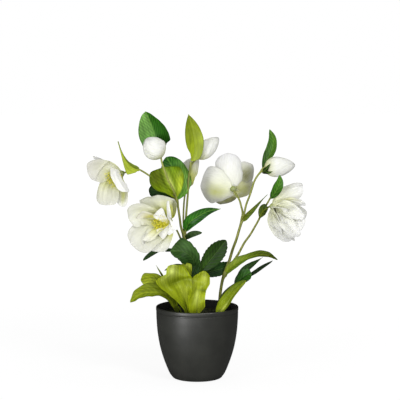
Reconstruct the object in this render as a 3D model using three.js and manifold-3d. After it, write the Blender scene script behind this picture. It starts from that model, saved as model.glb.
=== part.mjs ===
// A white hellebore (Christmas rose) in a round black pot, in millimetres and +Z up.
// The origin is the middle of the pot's flat bottom, and the plant's front looks along -Y.
// Everything that grows is a closed loft: stems are lofted circles, and leaves and petals are
// lofted thin strips whose two faces share one triangulation. Joins and cuts use manifold-3d.

import * as THREE from "three";
import { mergeVertices } from "three/addons/utils/BufferGeometryUtils.js";
import Module from "manifold-3d";

const wasm = await Module();
wasm.setup();

// ---------------------------------------------------------------- driving dimensions

const GAP = 0.3; // clear space between a piece and the one that carries it
const POT_HEIGHT = 101;
const POT_FOOT_RADIUS = 31;
const POT_WALL = 2.6;
const POT_FLOOR = 5;
const POT_SIDES = 32;
const RIM_RADIUS = 57.5;
const RIM_BAND = 6.4; // height of the rim band above the ring groove
const SOIL_LEVEL = 87;
const SOIL_CROWN = 3; // how much higher the soil stands in the middle
const LEAF_THICK = 0.8;
const NARROW = 18; // blades narrower than this have one facet each side of the midrib
const PETAL_THICK = 0.7;
const STEM_SIDES = 6;
const STEM_STEP = 18; // length of one straight piece of a stem
const BUD_PETALS = 3; // wrapped petal edges round a closed bud
const BUD_SIDES = 5 * BUD_PETALS;
const BUD_ROWS = 6;
const BUD_SUNK = 1.5; // how far a bud sits over the end of its stalk
const SPLINTER = 0.12; // triangles thinner than this are merged into their neighbours

// The pot's outer wall from foot to rim band, as [radius, height].
const POT_WALL_LINE = [
  [POT_FOOT_RADIUS + 3.5, 1.4],
  [38.6, 7],
  [42.2, 15],
  [47.4, 29],
  [52.2, 46],
  [55.4, 65],
  [56.8, 82],
  [57.2, POT_HEIGHT - RIM_BAND - 1],
];

const COLOURS = {
  pot: 0x3e3f3b,
  soil: 0x1d1c15,
  stem: 0x7d8142,
  petal: 0xeceee2,
  centre: 0xc9cf4a,
  bud: 0xe9ebd9,
  lightLeaf: 0x99aa3c,
  oliveLeaf: 0x74862c,
  greenLeaf: 0x4d7d2b,
  darkLeaf: 0x2c4320,
};

// ---------------------------------------------------------------- solids

const vec = (p) => new THREE.Vector3(...p);

function solidOf(geometry) {
  geometry.deleteAttribute("normal");
  geometry.deleteAttribute("uv");
  const merged = mergeVertices(geometry);
  const vertProperties = merged.attributes.position.array;
  const triVerts = new Uint32Array(merged.index.array);
  return new wasm.Manifold(new wasm.Mesh({ numProp: 3, vertProperties, triVerts }));
}

const joined = (solids) => solids.reduce((sum, solid) => sum.add(solid));

// The largest connected piece of a solid, so that no loose scrap is left by a cut.
function largest(solid) {
  const pieces = solid.decompose();
  return pieces.reduce((best, piece) => (piece.volume() > best.volume() ? piece : best));
}

function mesh(name, colour, solid, roughness = 0.6) {
  const { vertProperties, triVerts } = largest(solid.simplify(SPLINTER)).getMesh();
  const geometry = new THREE.BufferGeometry();
  geometry.setAttribute("position", new THREE.BufferAttribute(vertProperties, 3));
  geometry.setIndex(new THREE.BufferAttribute(triVerts, 1));
  geometry.computeVertexNormals();
  const material = new THREE.MeshStandardMaterial({ color: colour, roughness, metalness: 0 });
  const made = new THREE.Mesh(geometry, material);
  made.name = name;
  return made;
}

// A closed solid through rings of equally many points. The second half of each ring is split
// the other way, so that the two faces of a thin strip have the same triangles.
function loft(rings) {
  const count = rings[0].length;
  const triangles = [];
  for (let row = 0; row < rings.length - 1; row++) {
    for (let k = 0; k < count; k++) {
      const a = row * count + k;
      const b = row * count + ((k + 1) % count);
      const c = b + count;
      const d = a + count;
      if (k < count / 2) triangles.push(a, b, c, a, c, d);
      else triangles.push(a, b, d, b, c, d);
    }
  }
  const last = (rings.length - 1) * count;
  for (let k = 0; k < count / 2 - 1; k++) {
    const far = count - 1 - k;
    triangles.push(k, far, far - 1, k, far - 1, k + 1);
    triangles.push(last + k, last + far - 1, last + far, last + k, last + k + 1, last + far - 1);
  }
  const vertProperties = new Float32Array(rings.flat().flatMap((p) => [p.x, p.y, p.z]));
  const triVerts = new Uint32Array(triangles);
  return new wasm.Manifold(new wasm.Mesh({ numProp: 3, vertProperties, triVerts }));
}

// ---------------------------------------------------------------- stems

const smoothRoute = (points) => new THREE.CatmullRomCurve3(points.map(vec), false, "catmullrom");

// A ring of points round a centre. u and v are square to each other and to the ring's axis.
function ring(centre, u, v, radius, sides) {
  return Array.from({ length: sides }, (_, k) => {
    const angle = (2 * Math.PI * k) / sides;
    return centre
      .clone()
      .addScaledVector(u, radius(angle) * Math.cos(angle))
      .addScaledVector(v, radius(angle) * Math.sin(angle));
  });
}

// A round stem through its points, tapering from radius r0 to r1. extra fattens it, for cuts.
function stem([points, r0, r1], extra = 0) {
  const route = smoothRoute(points);
  const steps = Math.max(3, Math.round(route.getLength() / STEM_STEP));
  let u = new THREE.Vector3(1, 0, 0);
  const rings = [];
  for (let i = 0; i <= steps; i++) {
    const t = i / steps;
    const tangent = route.getTangentAt(t);
    const v = tangent.clone().cross(u).normalize();
    u = v.clone().cross(tangent);
    const radius = () => r0 + (r1 - r0) * t + extra;
    rings.push(ring(route.getPointAt(t), u, v, radius, STEM_SIDES));
  }
  const reach = route.getTangentAt(1).multiplyScalar(extra);
  rings.at(-1).forEach((p) => p.add(reach));
  const depth = route.getTangentAt(0).multiplyScalar(-extra);
  rings[0].forEach((p) => p.add(depth));
  return loft(rings);
}

// The swelling where a stem forks.
function knot([place, radius], extra = 0) {
  const ball = new THREE.SphereGeometry(radius + extra, 7, 4);
  return solidOf(ball.translate(...place));
}

// ---------------------------------------------------------------- leaves and petals

// Half width along a blade, 1 at its widest: p draws in the base and q the tip.
function outline(t, p, q) {
  const widest = p / (p + q);
  return (t / widest) ** p * ((1 - t) / (1 - widest)) ** q;
}

// One leaf or petal. route: points from base to tip. face: the way its upper side looks, at the
// base and at the tip. cup and fold, in radians: how far its sides bend and slope upwards.
// neck and tip: least half widths at its ends. wave: [height, waves, phase] of its margin.
// teeth: depth of the saw teeth in its outer half, as a part of its width.
function blade({ route, face, width, p = 0.8, q = 0.8, neck = 1, tip = 0.4, cup = 0.3,
  fold = 0.1, wave = [0, 1, 0], teeth = 0, rows = 6, columns = width < NARROW ? 2 : 4,
  thick = LEAF_THICK }) {
  const curve = smoothRoute(route);
  const [faceBase, faceTip] = face.map(vec);
  const grid = [];
  for (let j = 0; j <= rows; j++) {
    const even = j / rows;
    const t = even * (1.3 - 0.3 * even); // rows close up towards the tip
    const centre = curve.getPointAt(t);
    const tangent = curve.getTangentAt(t);
    const up = faceBase.clone().lerp(faceTip, t);
    up.addScaledVector(tangent, -up.dot(tangent)).normalize();
    const side = tangent.clone().cross(up);
    const tooth = t > 0.45 && j % 2 === 1 ? 1 - teeth : 1;
    const half = Math.max((width / 2) * outline(t, p, q) * tooth, neck + (tip - neck) * t);
    const row = [];
    for (let c = 0; c <= columns; c++) {
      const s = (2 * c) / columns - 1;
      const slope = fold + cup * Math.abs(s);
      const across = (half * (Math.sin(slope) - Math.sin(fold))) / cup;
      const lift = (half * (Math.cos(fold) - Math.cos(slope))) / cup;
      const ripple = wave[0] * s * s * Math.sin(2 * Math.PI * (wave[1] * t + wave[2]) + s);
      const point = centre.clone().addScaledVector(side, Math.sign(s) * across);
      row.push(point.addScaledVector(up, lift + ripple));
    }
    grid.push(row);
  }
  return thicken(grid, thick);
}

// Gives a grid of points a thickness, half to each side along the surface's own normals.
function thicken(grid, thick) {
  const rows = grid.length - 1;
  const columns = grid[0].length - 1;
  const rings = grid.map((row, j) => {
    const upper = [];
    const lower = [];
    row.forEach((point, c) => {
      const across = row[Math.min(c + 1, columns)].clone().sub(row[Math.max(c - 1, 0)]);
      const along = grid[Math.min(j + 1, rows)][c].clone().sub(grid[Math.max(j - 1, 0)][c]);
      const offset = across.cross(along).setLength(thick / 2);
      upper.push(point.clone().add(offset));
      lower.unshift(point.clone().sub(offset));
    });
    return [...upper, ...lower];
  });
  return loft(rings);
}

// ---------------------------------------------------------------- blooms and buds

// The frame of a bloom or bud: its axis and two directions across it.
function bloomFrame(axis) {
  const ahead = vec(axis).normalize();
  const top = new THREE.Vector3(0.3, 0, 1).projectOnPlane(ahead).normalize();
  return { ahead, top, right: top.clone().cross(ahead) };
}

// A petal looks ahead and in towards the bloom's axis, a little turned so that it laps its
// neighbour on one side only.
function petal({ ahead }, base, [route, width, shape = {}]) {
  const out = vec(route.at(-2)).sub(vec(base)).projectOnPlane(ahead).normalize();
  const root = vec(base).addScaledVector(ahead, 1).addScaledVector(out, 1.2);
  const lap = ahead.clone().cross(out).multiplyScalar(0.15);
  const face = ahead.clone().addScaledVector(out, -0.55).add(lap).toArray();
  return blade({ face: [face, face], p: 0.65, q: 0.36, neck: 1.5, tip: 2.4, cup: 0.55,
    fold: 0.02, rows: 5, thick: PETAL_THICK, ...shape, route: [root.toArray(), ...route], width });
}

const SMALL = { rows: 4, columns: 2, cup: 0.6, neck: 1.6 }; // small petals, as inside a full bloom
const BOWL = { p: 0.4, q: 0.26, cup: 0.75, neck: 4 }; // broad petals that close into a bowl

// The swollen end of a stalk that carries the petals, as [radius, height], and the green core
// on it, whose foot sits in the petals.
const RECEPTACLE = [[1.6, -3], [3, -1.5], [4.4, 0.6], [4.6, 2.4], [3, 3.6]];
const CORE_RADIUS = 2.6;
const CORE_FOOT = 2.4;
const CORE_TOP = 5;
const STAMEN_RING = 1.8; // radius of the ring in which the stamens stand
const ANTHER_RADIUS = 1;

// A solid turned round a bloom's axis, from its line of [radius, height].
function turned({ ahead, top, right }, base, line, sides) {
  const rings = line.map(([radius, height]) =>
    ring(vec(base).addScaledVector(ahead, height), right, top, () => radius, sides));
  return loft(rings);
}

// The petals of a bloom on the swollen end of its stalk, with clear space round its stamens.
function bloomPetals(bloom) {
  const frame = bloomFrame(bloom.axis);
  const petals = bloom.petals.map((spec) => petal(frame, bloom.base, spec));
  const cup = turned(frame, bloom.base, RECEPTACLE, 7);
  const { spread, reach } = bloom.stamens;
  const mouth = STAMEN_RING + reach * Math.tan(spread) + ANTHER_RADIUS + 3 * GAP;
  const room = [[CORE_RADIUS + GAP, CORE_FOOT - GAP], [CORE_RADIUS + GAP, CORE_TOP],
    [mouth, CORE_TOP + reach]];
  return joined([cup, ...petals]).subtract(turned(frame, bloom.base, room, 8));
}

// The stamens of a bloom: a ring of filaments with fat anthers round a low green core.
function bloomCentre(bloom) {
  const frame = bloomFrame(bloom.axis);
  const { count, spread, reach } = bloom.stamens;
  const core = [[CORE_RADIUS, CORE_FOOT], [CORE_RADIUS, CORE_TOP - 1], [1.4, CORE_TOP]];
  const parts = [turned(frame, bloom.base, core, 8)];
  const stamen = [[0.5, 0], [0.4, 0.74 * reach], [ANTHER_RADIUS, 0.84 * reach], [0.5, reach]];
  for (let i = 0; i < count; i++) {
    const angle = (2 * Math.PI * (i + 0.5)) / count;
    const out = frame.top.clone().multiplyScalar(Math.cos(angle));
    out.addScaledVector(frame.right, Math.sin(angle));
    const ahead = frame.ahead.clone().addScaledVector(out, Math.tan(spread)).normalize();
    const foot = vec(bloom.base).addScaledVector(frame.ahead, CORE_TOP - 2);
    foot.addScaledVector(out, STAMEN_RING);
    const side = out.clone().projectOnPlane(ahead).normalize();
    const axes = { ahead, top: side, right: side.clone().cross(ahead) };
    parts.push(turned(axes, foot.toArray(), stamen, 3));
  }
  return joined(parts);
}

// A closed bud: an egg whose surface steps down along its wrapped petal edges. belly moves its
// widest place towards the stalk as it falls. extra fattens it, for cuts.
function bud({ base, axis, length, width, belly = 0.85, twist = 0.25 }, extra = 0) {
  const { ahead, top, right } = bloomFrame(axis);
  const rings = [];
  for (let j = 0; j <= BUD_ROWS; j++) {
    const t = (1 - Math.cos((Math.PI * j) / BUD_ROWS)) / 2; // rows close up towards both ends
    const girth = extra + Math.max((width / 2) * Math.sin(Math.PI * t ** belly) ** 0.6, 0.5);
    const wrapped = (angle) => {
      const place = BUD_PETALS * (angle / (2 * Math.PI) + twist * t);
      const step = place - Math.floor(place); // 0 at a petal's covered edge, 1 at its free edge
      return girth * (0.93 + 0.1 * step * Math.sin(Math.PI * t));
    };
    const centre = vec(base).addScaledVector(ahead, t * length - BUD_SUNK);
    rings.push(ring(centre, right, top, wrapped, BUD_SIDES));
  }
  return loft(rings);
}

// ---------------------------------------------------------------- the pot and its soil

// A solid turned round +Z from its line of radius and height.
const lathed = (line) => solidOf(new THREE.LatheGeometry(line, POT_SIDES).rotateX(Math.PI / 2));

function potSolid() {
  const body = new THREE.SplineCurve(POT_WALL_LINE.map(([r, z]) => new THREE.Vector2(r, z)));
  const outer = body.getPoints(6);
  const groove = POT_HEIGHT - RIM_BAND;
  const rim = [
    [RIM_RADIUS - 1.1, groove - 0.4],
    [RIM_RADIUS - 1.1, groove + 0.4],
    [RIM_RADIUS - 0.1, groove + 1],
    [RIM_RADIUS, POT_HEIGHT - 0.8],
    [RIM_RADIUS - 0.8, POT_HEIGHT],
    [RIM_RADIUS - 1.9, POT_HEIGHT],
    [RIM_RADIUS - POT_WALL, POT_HEIGHT - 0.8],
  ].map(([r, z]) => new THREE.Vector2(r, z));
  const inner = innerWall();
  const profile = [new THREE.Vector2(0, 0), new THREE.Vector2(POT_FOOT_RADIUS, 0), ...outer,
    ...rim, ...inner, new THREE.Vector2(0, POT_FLOOR)];
  return lathed(profile);
}

// The pot's inner wall from below the rim to the edge of its floor.
function innerWall(inset = 0) {
  return POT_WALL_LINE.filter((_, i) => i % 2 === 1)
    .reverse()
    .map(([r, z]) => new THREE.Vector2(r - POT_WALL - inset, z))
    .concat(new THREE.Vector2(36 - inset, POT_FLOOR + inset));
}

function soilSolid() {
  const wall = innerWall(GAP).filter((p) => p.y < SOIL_LEVEL).reverse();
  const edge = wall.at(-1).x;
  const top = [1, 0.7, 0.35, 0].map((part) => {
    const rise = SOIL_CROWN * (1 - part ** 2) * (1 + 0.25 * Math.sin(9 * part));
    return new THREE.Vector2(edge * part, SOIL_LEVEL + rise);
  });
  const profile = [new THREE.Vector2(0, POT_FLOOR + GAP), ...wall, ...top];
  return lathed(profile);
}

// ---------------------------------------------------------------- where everything grows

// Stems as [points, radius at the foot, radius at the end].
const LEFT_SPRAY = {
  stems: [
    [[[-10, 0, 56], [-10, 0, 84], [-11, -1, 124], [-14, -2, 163], [-16, -3, 187], [-18, -3, 200]], 2.3, 2],
    [[[-16, -3, 192], [-22, -4, 211], [-24, -5, 224], [-26, -6, 238], [-28, -7, 251]], 1.8, 1.5],
    [[[-28, -7, 247], [-30, -10, 257], [-35, -16, 270], [-40, -19, 280], [-44, -19, 291],
      [-48, -17, 302], [-50, -14, 312]], 1.4, 1.3],
    [[[-28, -7, 248], [-32, -8, 256], [-40, -9, 264], [-51, -10, 274], [-65, -17, 285],
      [-76, -25, 293], [-83, -29, 296], [-94, -33, 293], [-100, -37, 291]], 1.4, 1.2],
    [[[-17, -3, 195], [-19, 0, 216], [-19, 3, 233], [-18, 7, 249], [-16, 11, 261], [-13, 14, 267]], 1.3, 1.2],
    [[[-17, -3, 195], [-16, -2, 217], [-15, -1, 233], [-13, 2, 257], [-12, 4, 277], [-10, 5, 294],
      [-9, 5, 303]], 1.6, 1.3],
    [[[-10, 5, 290], [-8, 8, 298], [-4, 12, 303], [0, 15, 307]], 1.3, 1.2],
    [[[-16, -3, 186], [-21, -6, 193], [-27, -12, 207], [-32, -15, 216], [-36, -18, 222]], 1.4, 1.2],
  ],
  knots: [[[-17, -3, 197], 2.7], [[-28, -7, 249], 2.2]],
};

const RIGHT_SPRAY = {
  stems: [
    [[[30, 3, 56], [30, 3, 84], [32, 3, 116], [35, 2, 136], [38, 1, 145], [41, 1, 155],
      [45, 0, 166], [49, -1, 180], [54, -2, 194], [58, -3, 208], [63, -3, 225]], 2.3, 1.8],
    [[[62, -3, 221], [63, 2, 232], [61, 8, 241], [59, 14, 248], [54, 22, 256], [51, 31, 261]], 1.5, 1.3],
    [[[62, -3, 221], [65, -3, 231], [68, -2, 244], [73, -1, 257], [76, 2, 266], [79, 4, 275],
      [83, 7, 282], [88, 9, 288], [94, 12, 293]], 1.5, 1.3],
    [[[38, 1, 143], [43, 0, 153], [50, -1, 164], [57, -5, 175], [65, -10, 191], [73, -14, 203],
      [80, -19, 216], [85, -23, 226], [90, -26, 238], [96, -31, 249], [100, -36, 257]], 1.8, 1.2],
    [[[88, -28, 233], [95, -32, 242], [100, -37, 246]], 1.3, 1.2],
  ],
  knots: [[[38, 1, 145], 2.8], [[62.5, -3, 223], 2.3], [[93, 12, 291], 3]],
};

// The leaves and bracts of the two sprays.
const SPRAY_LEAVES = [
  { name: "leaf_behind_round_bud", colour: "greenLeaf", width: 43, p: 0.62, q: 0.62, tip: 2.5,
    route: [[-50, -13, 311], [-55, -1, 321], [-58, 4, 336], [-64, 3, 355], [-71, -2, 373]],
    face: [[-0.2, -1, 0.2], [-0.3, -1, -0.2]], cup: 0.6, wave: [1, 2, 0.2] },
  { name: "leaf_top_middle", colour: "lightLeaf", width: 26, p: 0.62, q: 0.85, neck: 1.8,
    route: [[-9, 3, 301], [-6, 1, 318], [-4, 0, 333], [-7, -1, 350], [-12, -2, 369]],
    face: [[0.1, -1, 0.1], [-0.1, -1, 0.1]], cup: 0.5, fold: 0.1 },
  { name: "leaf_by_right_bud", colour: "greenLeaf", width: 18, p: 0.9, q: 0.8,
    route: [[90, 15, 290], [96, 24, 307], [102, 24, 322], [103, 22, 334], [100, 20, 347]],
    face: [[-0.6, -1, 0.2], [-0.5, -1, 0]], cup: 0.5, fold: 0.2 },
  { name: "leaf_above_right_bloom", colour: "greenLeaf", width: 14, p: 0.8, q: 0.8,
    route: [[100, -36, 256], [100, -44, 267], [108, -49, 275], [112, -51, 282], [110, -52, 289]],
    face: [[-0.2, -1, 0.3], [-0.2, -1, 0.3]], cup: 0.5, wave: [0.8, 2, 0.1] },
  { name: "bract_on_left_stalk", colour: "lightLeaf", width: 21, p: 0.5, q: 1.9, tip: 0.7,
    route: [[-79, -28, 295], [-87, -33, 298], [-96, -35, 307], [-103, -34, 321], [-108, -32, 334]],
    face: [[0.1, -1, 0.5], [0.5, -1, 0.1]], cup: 0.7, fold: 0.25, neck: 1.3 },
  { name: "leaf_front_of_fork", colour: "oliveLeaf", width: 52, p: 0.75, q: 0.36, neck: 1.6, tip: 4,
    route: [[-29, -7, 254], [-34, -8, 265], [-41, -9, 278], [-46, -9, 289], [-48, -8, 296]],
    face: [[0.1, -1, 0.2], [0, -1, 0.3]], cup: 0.6, wave: [1.5, 2, 0.3] },
  { name: "leaf_behind_fork", colour: "greenLeaf", width: 44, p: 0.7, q: 0.6, neck: 1.6, tip: 2,
    route: [[-26, -2, 251], [-25, 4, 264], [-26, 9, 280], [-31, 11, 297], [-38, 11, 311]],
    face: [[0.1, -1, 0.2], [0, -1, 0.1]], cup: 0.35, wave: [1.2, 2, 0.1] },
  { name: "leaf_low_left_of_fork", colour: "darkLeaf", width: 21, p: 0.6, q: 0.3, tip: 5,
    route: [[-29, -6, 251], [-39, -5, 257], [-52, -3, 262], [-67, -2, 265]],
    face: [[0, -1, 0.3], [-0.1, -1, 0.1]], cup: 0.3 },
  { name: "bract_at_right_fork", colour: "oliveLeaf", width: 11, p: 0.4, q: 1.5, tip: 0.6,
    route: [[62, -3, 221], [68, -8, 230], [76, -10, 238], [87, -9, 249], [97, -11, 259]],
    face: [[0.5, -1, -0.3], [0.5, -1, -0.5]], cup: 0.5, fold: 0.3, neck: 1.8 },
  { name: "bract_under_right_bloom", colour: "oliveLeaf", width: 20, p: 1.2, q: 0.3, tip: 3,
    route: [[85, -24.4, 226], [89, -30, 236], [93, -35, 241], [97, -38, 243]],
    face: [[-0.3, -1, 0.4], [-0.2, -1, 0.4]], cup: 0.5 },
  { name: "leaf_right_of_left_fork", colour: "greenLeaf", width: 20, p: 0.6, q: 1, neck: 2,
    route: [[-16, -3, 207], [-11, -7, 219], [2, -11, 229], [16, -13, 236], [33, -11, 239]],
    face: [[0.2, -1, 0.3], [0, -1, 0.2]], cup: 0.4, fold: 0.1 },
  { name: "small_leaf_at_left_fork", colour: "darkLeaf", width: 9, p: 0.6, q: 0.7, neck: 1.6,
    route: [[-17, -4, 196], [-10, -9, 202], [-2, -12, 205], [7, -13, 206]],
    face: [[0, -1, 0.3], [0, -1, 0.1]], cup: 0.4 },
];

// Leaves that come out of the soil on stalks of their own. stalk is a stem's entry.
const GROUND_LEAVES = [
  { name: "dark_leaf_middle", colour: "darkLeaf",
    stalk: [[[-6, -9, 56], [-6, -9, 86], [-7, -11, 112], [-5, -12, 133], [-2, -13, 152]], 1.6, 1.8],
    blades: [
      { route: [[-2, -13, 148], [0, -17, 164], [-3, -21, 176], [-17, -24, 182], [-36, -20, 181]],
        face: [[0, -1, 0], [0.1, -1, 0.5]], width: 34, p: 0.8, q: 0.62, cup: 0.5, neck: 3 },
      { route: [[2, -13, 148], [13, -13, 162], [26, -14, 178], [40, -15, 196]],
        face: [[0, -1, 0.2], [0, -1, 0.2]], width: 27, p: 1, q: 0.42, cup: 0.3, neck: 2,
        teeth: 0.14, rows: 9 },
      { route: [[-1, -12, 148], [16, -3, 150], [35, 8, 153], [55, 15, 158]],
        face: [[0, -1, 0.3], [0.2, -1, 0.2]], width: 20, p: 0.7, q: 0.7, cup: 0.3, neck: 2 },
      { route: [[-3, -11, 148], [-15, 2, 164], [-30, 6, 176], [-44, 3, 178], [-51, 0, 180],
        [-63, -3, 174], [-75, -6, 166]],
        face: [[0.5, 0.3, 1], [-0.2, 0.2, 1]], width: 15, p: 0.8, q: 0.6, cup: 0.5, neck: 1.6, rows: 10 },
      { route: [[-4, -10, 147], [-15, 5, 153], [-30, 11, 155], [-46, 13, 149]],
        face: [[0, 0.4, 1], [0, -0.4, 1]], width: 17, p: 0.8, q: 0.8, cup: 0.3, neck: 1.6 },
    ] },
  { name: "dark_leaf_right", colour: "darkLeaf",
    stalk: [[[27, -10, 56], [28, -11, 86], [31, -12, 110], [37, -14, 122], [45, -16, 130],
      [54, -17, 136]], 1.4, 1.3],
    blades: [
      { route: [[52, -17, 134], [58, -15, 146], [66, -13, 154], [77, -11, 161], [91, -8, 171]],
        face: [[-0.6, -1, 0.4], [-0.4, -0.6, 1]], width: 17, p: 0.7, q: 1.3, cup: 0.5, neck: 1.4 },
      { route: [[52, -17, 135], [60, -22, 142], [68, -26, 148], [75, -28, 150]],
        face: [[0, -0.6, 1], [0.2, -1, 0.5]], width: 20, p: 0.8, q: 0.35, cup: 0.3, tip: 2,
        teeth: 0.14, rows: 9 },
      { route: [[52, -17, 134], [65, -22, 144], [77, -25, 151], [89, -27, 157], [103, -28, 168]],
        face: [[0.2, -0.5, -1], [0.5, -0.5, -1]], width: 12, p: 1, q: 0.9, cup: 0.5 },
    ] },
  { name: "light_leaf_front_left", colour: "lightLeaf",
    stalk: [[[-13, -16, 56], [-14, -20, 84], [-17, -24, 104]], 1.8, 2],
    blades: [
      { route: [[-15, -21, 92], [-21, -29, 114], [-28, -33, 137], [-33, -26, 163]],
        face: [[0.2, -1, 0.3], [0, -1, 0.5]], width: 52, p: 0.8, q: 0.42, cup: 0.8, neck: 4,
        wave: [2.5, 2.5, 0.1] },
    ] },
  { name: "light_leaf_front_right", colour: "lightLeaf",
    stalk: [[[0, -16, 56], [0, -20, 84], [1, -24, 104]], 1.6, 1.8],
    blades: [
      { route: [[1, -21, 94], [3, -25, 112], [6, -26, 134], [10, -19, 155]],
        face: [[-0.3, -1, 0.3], [-0.2, -1, 0.5]], width: 26, p: 0.5, q: 0.5, cup: 0.5, neck: 4,
        wave: [1.5, 2, 0.4] },
    ] },
  { name: "olive_leaf_left_high", colour: "oliveLeaf",
    stalk: [[[-24, -7, 56], [-26, -9, 84], [-30, -12, 104]], 1.5, 1.6],
    blades: [
      { route: [[-28, -10, 95], [-36, -15, 118], [-47, -19, 136], [-61, -22, 143], [-78, -24, 141]],
        face: [[0.4, -0.8, 0.6], [-0.2, -0.8, 1]], width: 20, p: 0.5, q: 0.2, cup: 0.4, tip: 6, neck: 3 },
    ] },
  { name: "olive_leaf_left_low", colour: "oliveLeaf",
    stalk: [[[-22, -18, 56], [-26, -24, 84], [-30, -29, 104]], 1.5, 1.6],
    blades: [
      { route: [[-27, -25, 94], [-36, -35, 116], [-51, -41, 128], [-72, -43, 127], [-92, -43, 114]],
        face: [[0.3, -0.6, 0.8], [-0.4, -0.6, 1]], width: 16, p: 0.5, q: 0.5, cup: 0.4, tip: 3, neck: 3 },
    ] },
  { name: "narrow_leaf_left", colour: "lightLeaf",
    stalk: [[[-17, 2, 56], [-20, 0, 84], [-25, -3, 100]], 1.3, 1.3],
    blades: [
      { route: [[-22, -1, 92], [-35, -6, 119], [-46, -8, 143], [-57, -8, 160]],
        face: [[-0.8, -0.5, 0.3], [-0.8, -0.3, 0.3]], width: 10, p: 0.8, q: 0.9, cup: 0.6, neck: 1.2 },
    ] },
  { name: "light_leaf_right", colour: "lightLeaf",
    stalk: [[[20, -22, 56], [25, -23, 84], [32, -25, 104]], 1.6, 1.6],
    blades: [
      { route: [[27, -23, 93], [37, -28, 107], [46, -32, 121], [56, -34, 133], [67, -36, 143]],
        face: [[-0.4, -1, 0.4], [-0.4, -1, 0.5]], width: 16, p: 0.5, q: 0.5, cup: 0.7, fold: 0.2, neck: 3 },
    ] },
];

// The long arching leaf that sheathes the lower fork of the right spray.
const ARCHING_LEAF = { name: "arching_leaf_right", colour: "oliveLeaf", width: 17, p: 0.5, q: 0.45,
  route: [[39, 0, 146], [46, -6, 155], [55, -11, 163], [67, -16, 170], [81, -19, 175],
    [96, -21, 175], [111, -21, 169]],
  face: [[-0.3, -1, 0.4], [0.2, -0.3, 1]], cup: 0.5, neck: 3, rows: 10 };

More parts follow.
